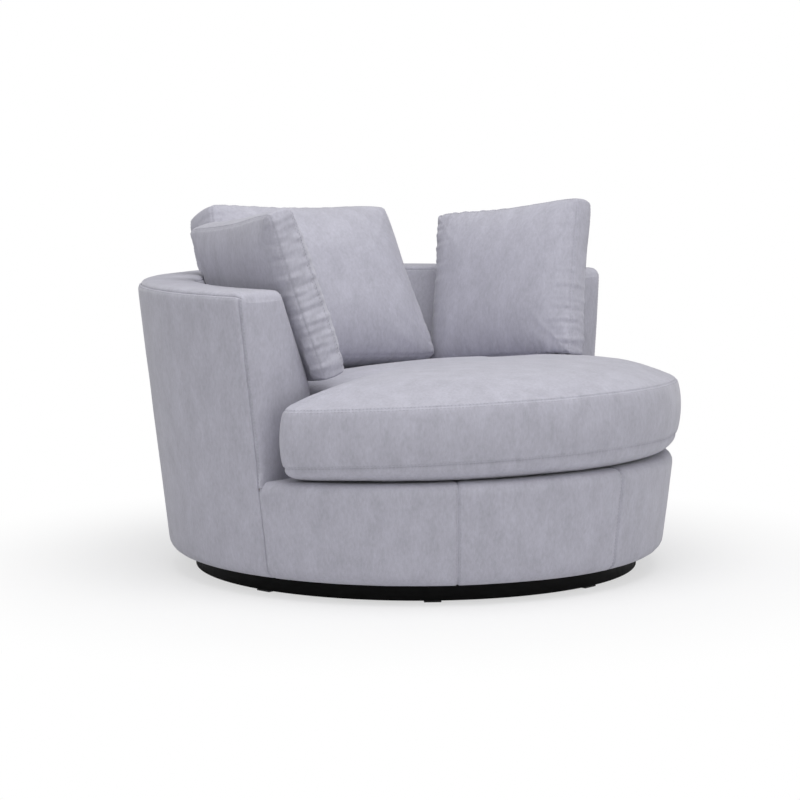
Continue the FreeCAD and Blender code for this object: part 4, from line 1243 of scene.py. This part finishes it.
# %% Floor
FLOOR_HALF = 30
FADE_FROM = 0.5
FADE_TO = 1.25
FADE_LEAST = 0.6
floor_corners = [(x * FLOOR_HALF, y * FLOOR_HALF, 0) for x, y in ((-1, -1), (1, -1), (1, 1), (-1, 1))]
floor = new_object("floor", floor_corners, [(0, 1, 2, 3)])
floor_paint, floor_tree, floor_shader = finish("pale floor", (0.84, 0.84, 0.85), 0.9)
shade(floor_tree, floor_shader, stretched_noise(floor_tree, 3), (0.83, 0.83, 0.84),
      (0.85, 0.85, 0.86))
floor_place = node(floor_tree, "ShaderNodeTexCoord", output=3)
distance = node(floor_tree, "ShaderNodeVectorMath", {"operation": "LENGTH"}, {0: floor_place}, 1)
fade = node(floor_tree, "ShaderNodeMapRange", {"interpolation_type": "SMOOTHSTEP"},
            {"Value": distance, "From Min": FADE_FROM, "From Max": FADE_TO, "To Min": FADE_LEAST})
seen_directly = node(floor_tree, "ShaderNodeLightPath")
plain_white = node(floor_tree, "ShaderNodeEmission", None, {"Color": (1, 1, 1, 1)})
painted = Value(floor_tree, floor_shader.outputs[0])
faded = node(floor_tree, "ShaderNodeMixShader", None,
             {0: fade * seen_directly, 1: painted, 2: plain_white})
floor_tree.links.new(faded.socket, floor_tree.nodes["Material Output"].inputs["Surface"])
dress(floor, floor_paint)
print("the floor fades from", FADE_FROM, "to", FADE_TO, "m")

# %% [markdown]
# Soft light comes from all round, with a large lamp above to the front, so that the top faces
# are the brightest. The camera sees plain white behind the chair instead of the room's light.

# %% Light
ROOM_LIGHT = 0.38
world = bpy.data.worlds.new("studio")
bpy.context.scene.world = world
world.use_nodes = True
sky = world.node_tree
sky.nodes.clear()
seen = node(sky, "ShaderNodeLightPath")
white = node(sky, "ShaderNodeBackground", None, {"Color": (1, 1, 1, 1), "Strength": 1.0})
room = node(sky, "ShaderNodeBackground", None, {"Color": (1, 1, 1, 1), "Strength": ROOM_LIGHT})
both = node(sky, "ShaderNodeMixShader", None, {0: seen, 1: room, 2: white})
node_out = sky.nodes.new("ShaderNodeOutputWorld")
sky.links.new(both.socket, node_out.inputs["Surface"])


def area_lamp(name, place, target, width, power):
    """A square lamp that shines from a place towards a target."""
    lamp = bpy.data.lights.new(name, "AREA")
    lamp.size = width
    lamp.energy = power
    holder = bpy.data.objects.new(name, lamp)
    holder.location = place
    holder.rotation_euler = (Vector(target) - Vector(place)).to_track_quat("-Z", "Y").to_euler()
    bpy.context.scene.collection.objects.link(holder)


area_lamp("overhead lamp", place=(-0.6, -0.8, 3.4), target=(0, 0, 0.4), width=2.6, power=72)
area_lamp("front lamp", place=(0.8, -4.2, 1.9), target=(0, 0, 0.4), width=3.0, power=26)
area_lamp("side lamp", place=(-3.6, 0.4, 2.6), target=(0, 0, 0.5), width=2.4, power=20)
print("lamps:", len(bpy.data.lights))

# %% [markdown]
# A long lens a few metres away shows the chair from its front left corner, a little from above.

# %% Camera
CAMERA_LENS = 109.39
CAMERA_PLACE = (-4.12875, -3.58243, 0.97673)
CAMERA_TARGET = (-0.0240, 0.0273, 0.3677)
view = bpy.data.cameras.new("camera")
view.lens = CAMERA_LENS
view.sensor_width = 36
camera = bpy.data.objects.new("camera", view)
camera.location = CAMERA_PLACE
look = Vector(CAMERA_TARGET) - Vector(CAMERA_PLACE)
camera.rotation_euler = look.to_track_quat("-Z", "Y").to_euler()
bpy.context.scene.collection.objects.link(camera)
bpy.context.scene.camera = camera
bpy.context.scene.view_settings.view_transform = "Standard"
print("camera distance:", round(look.length, 2), "m")
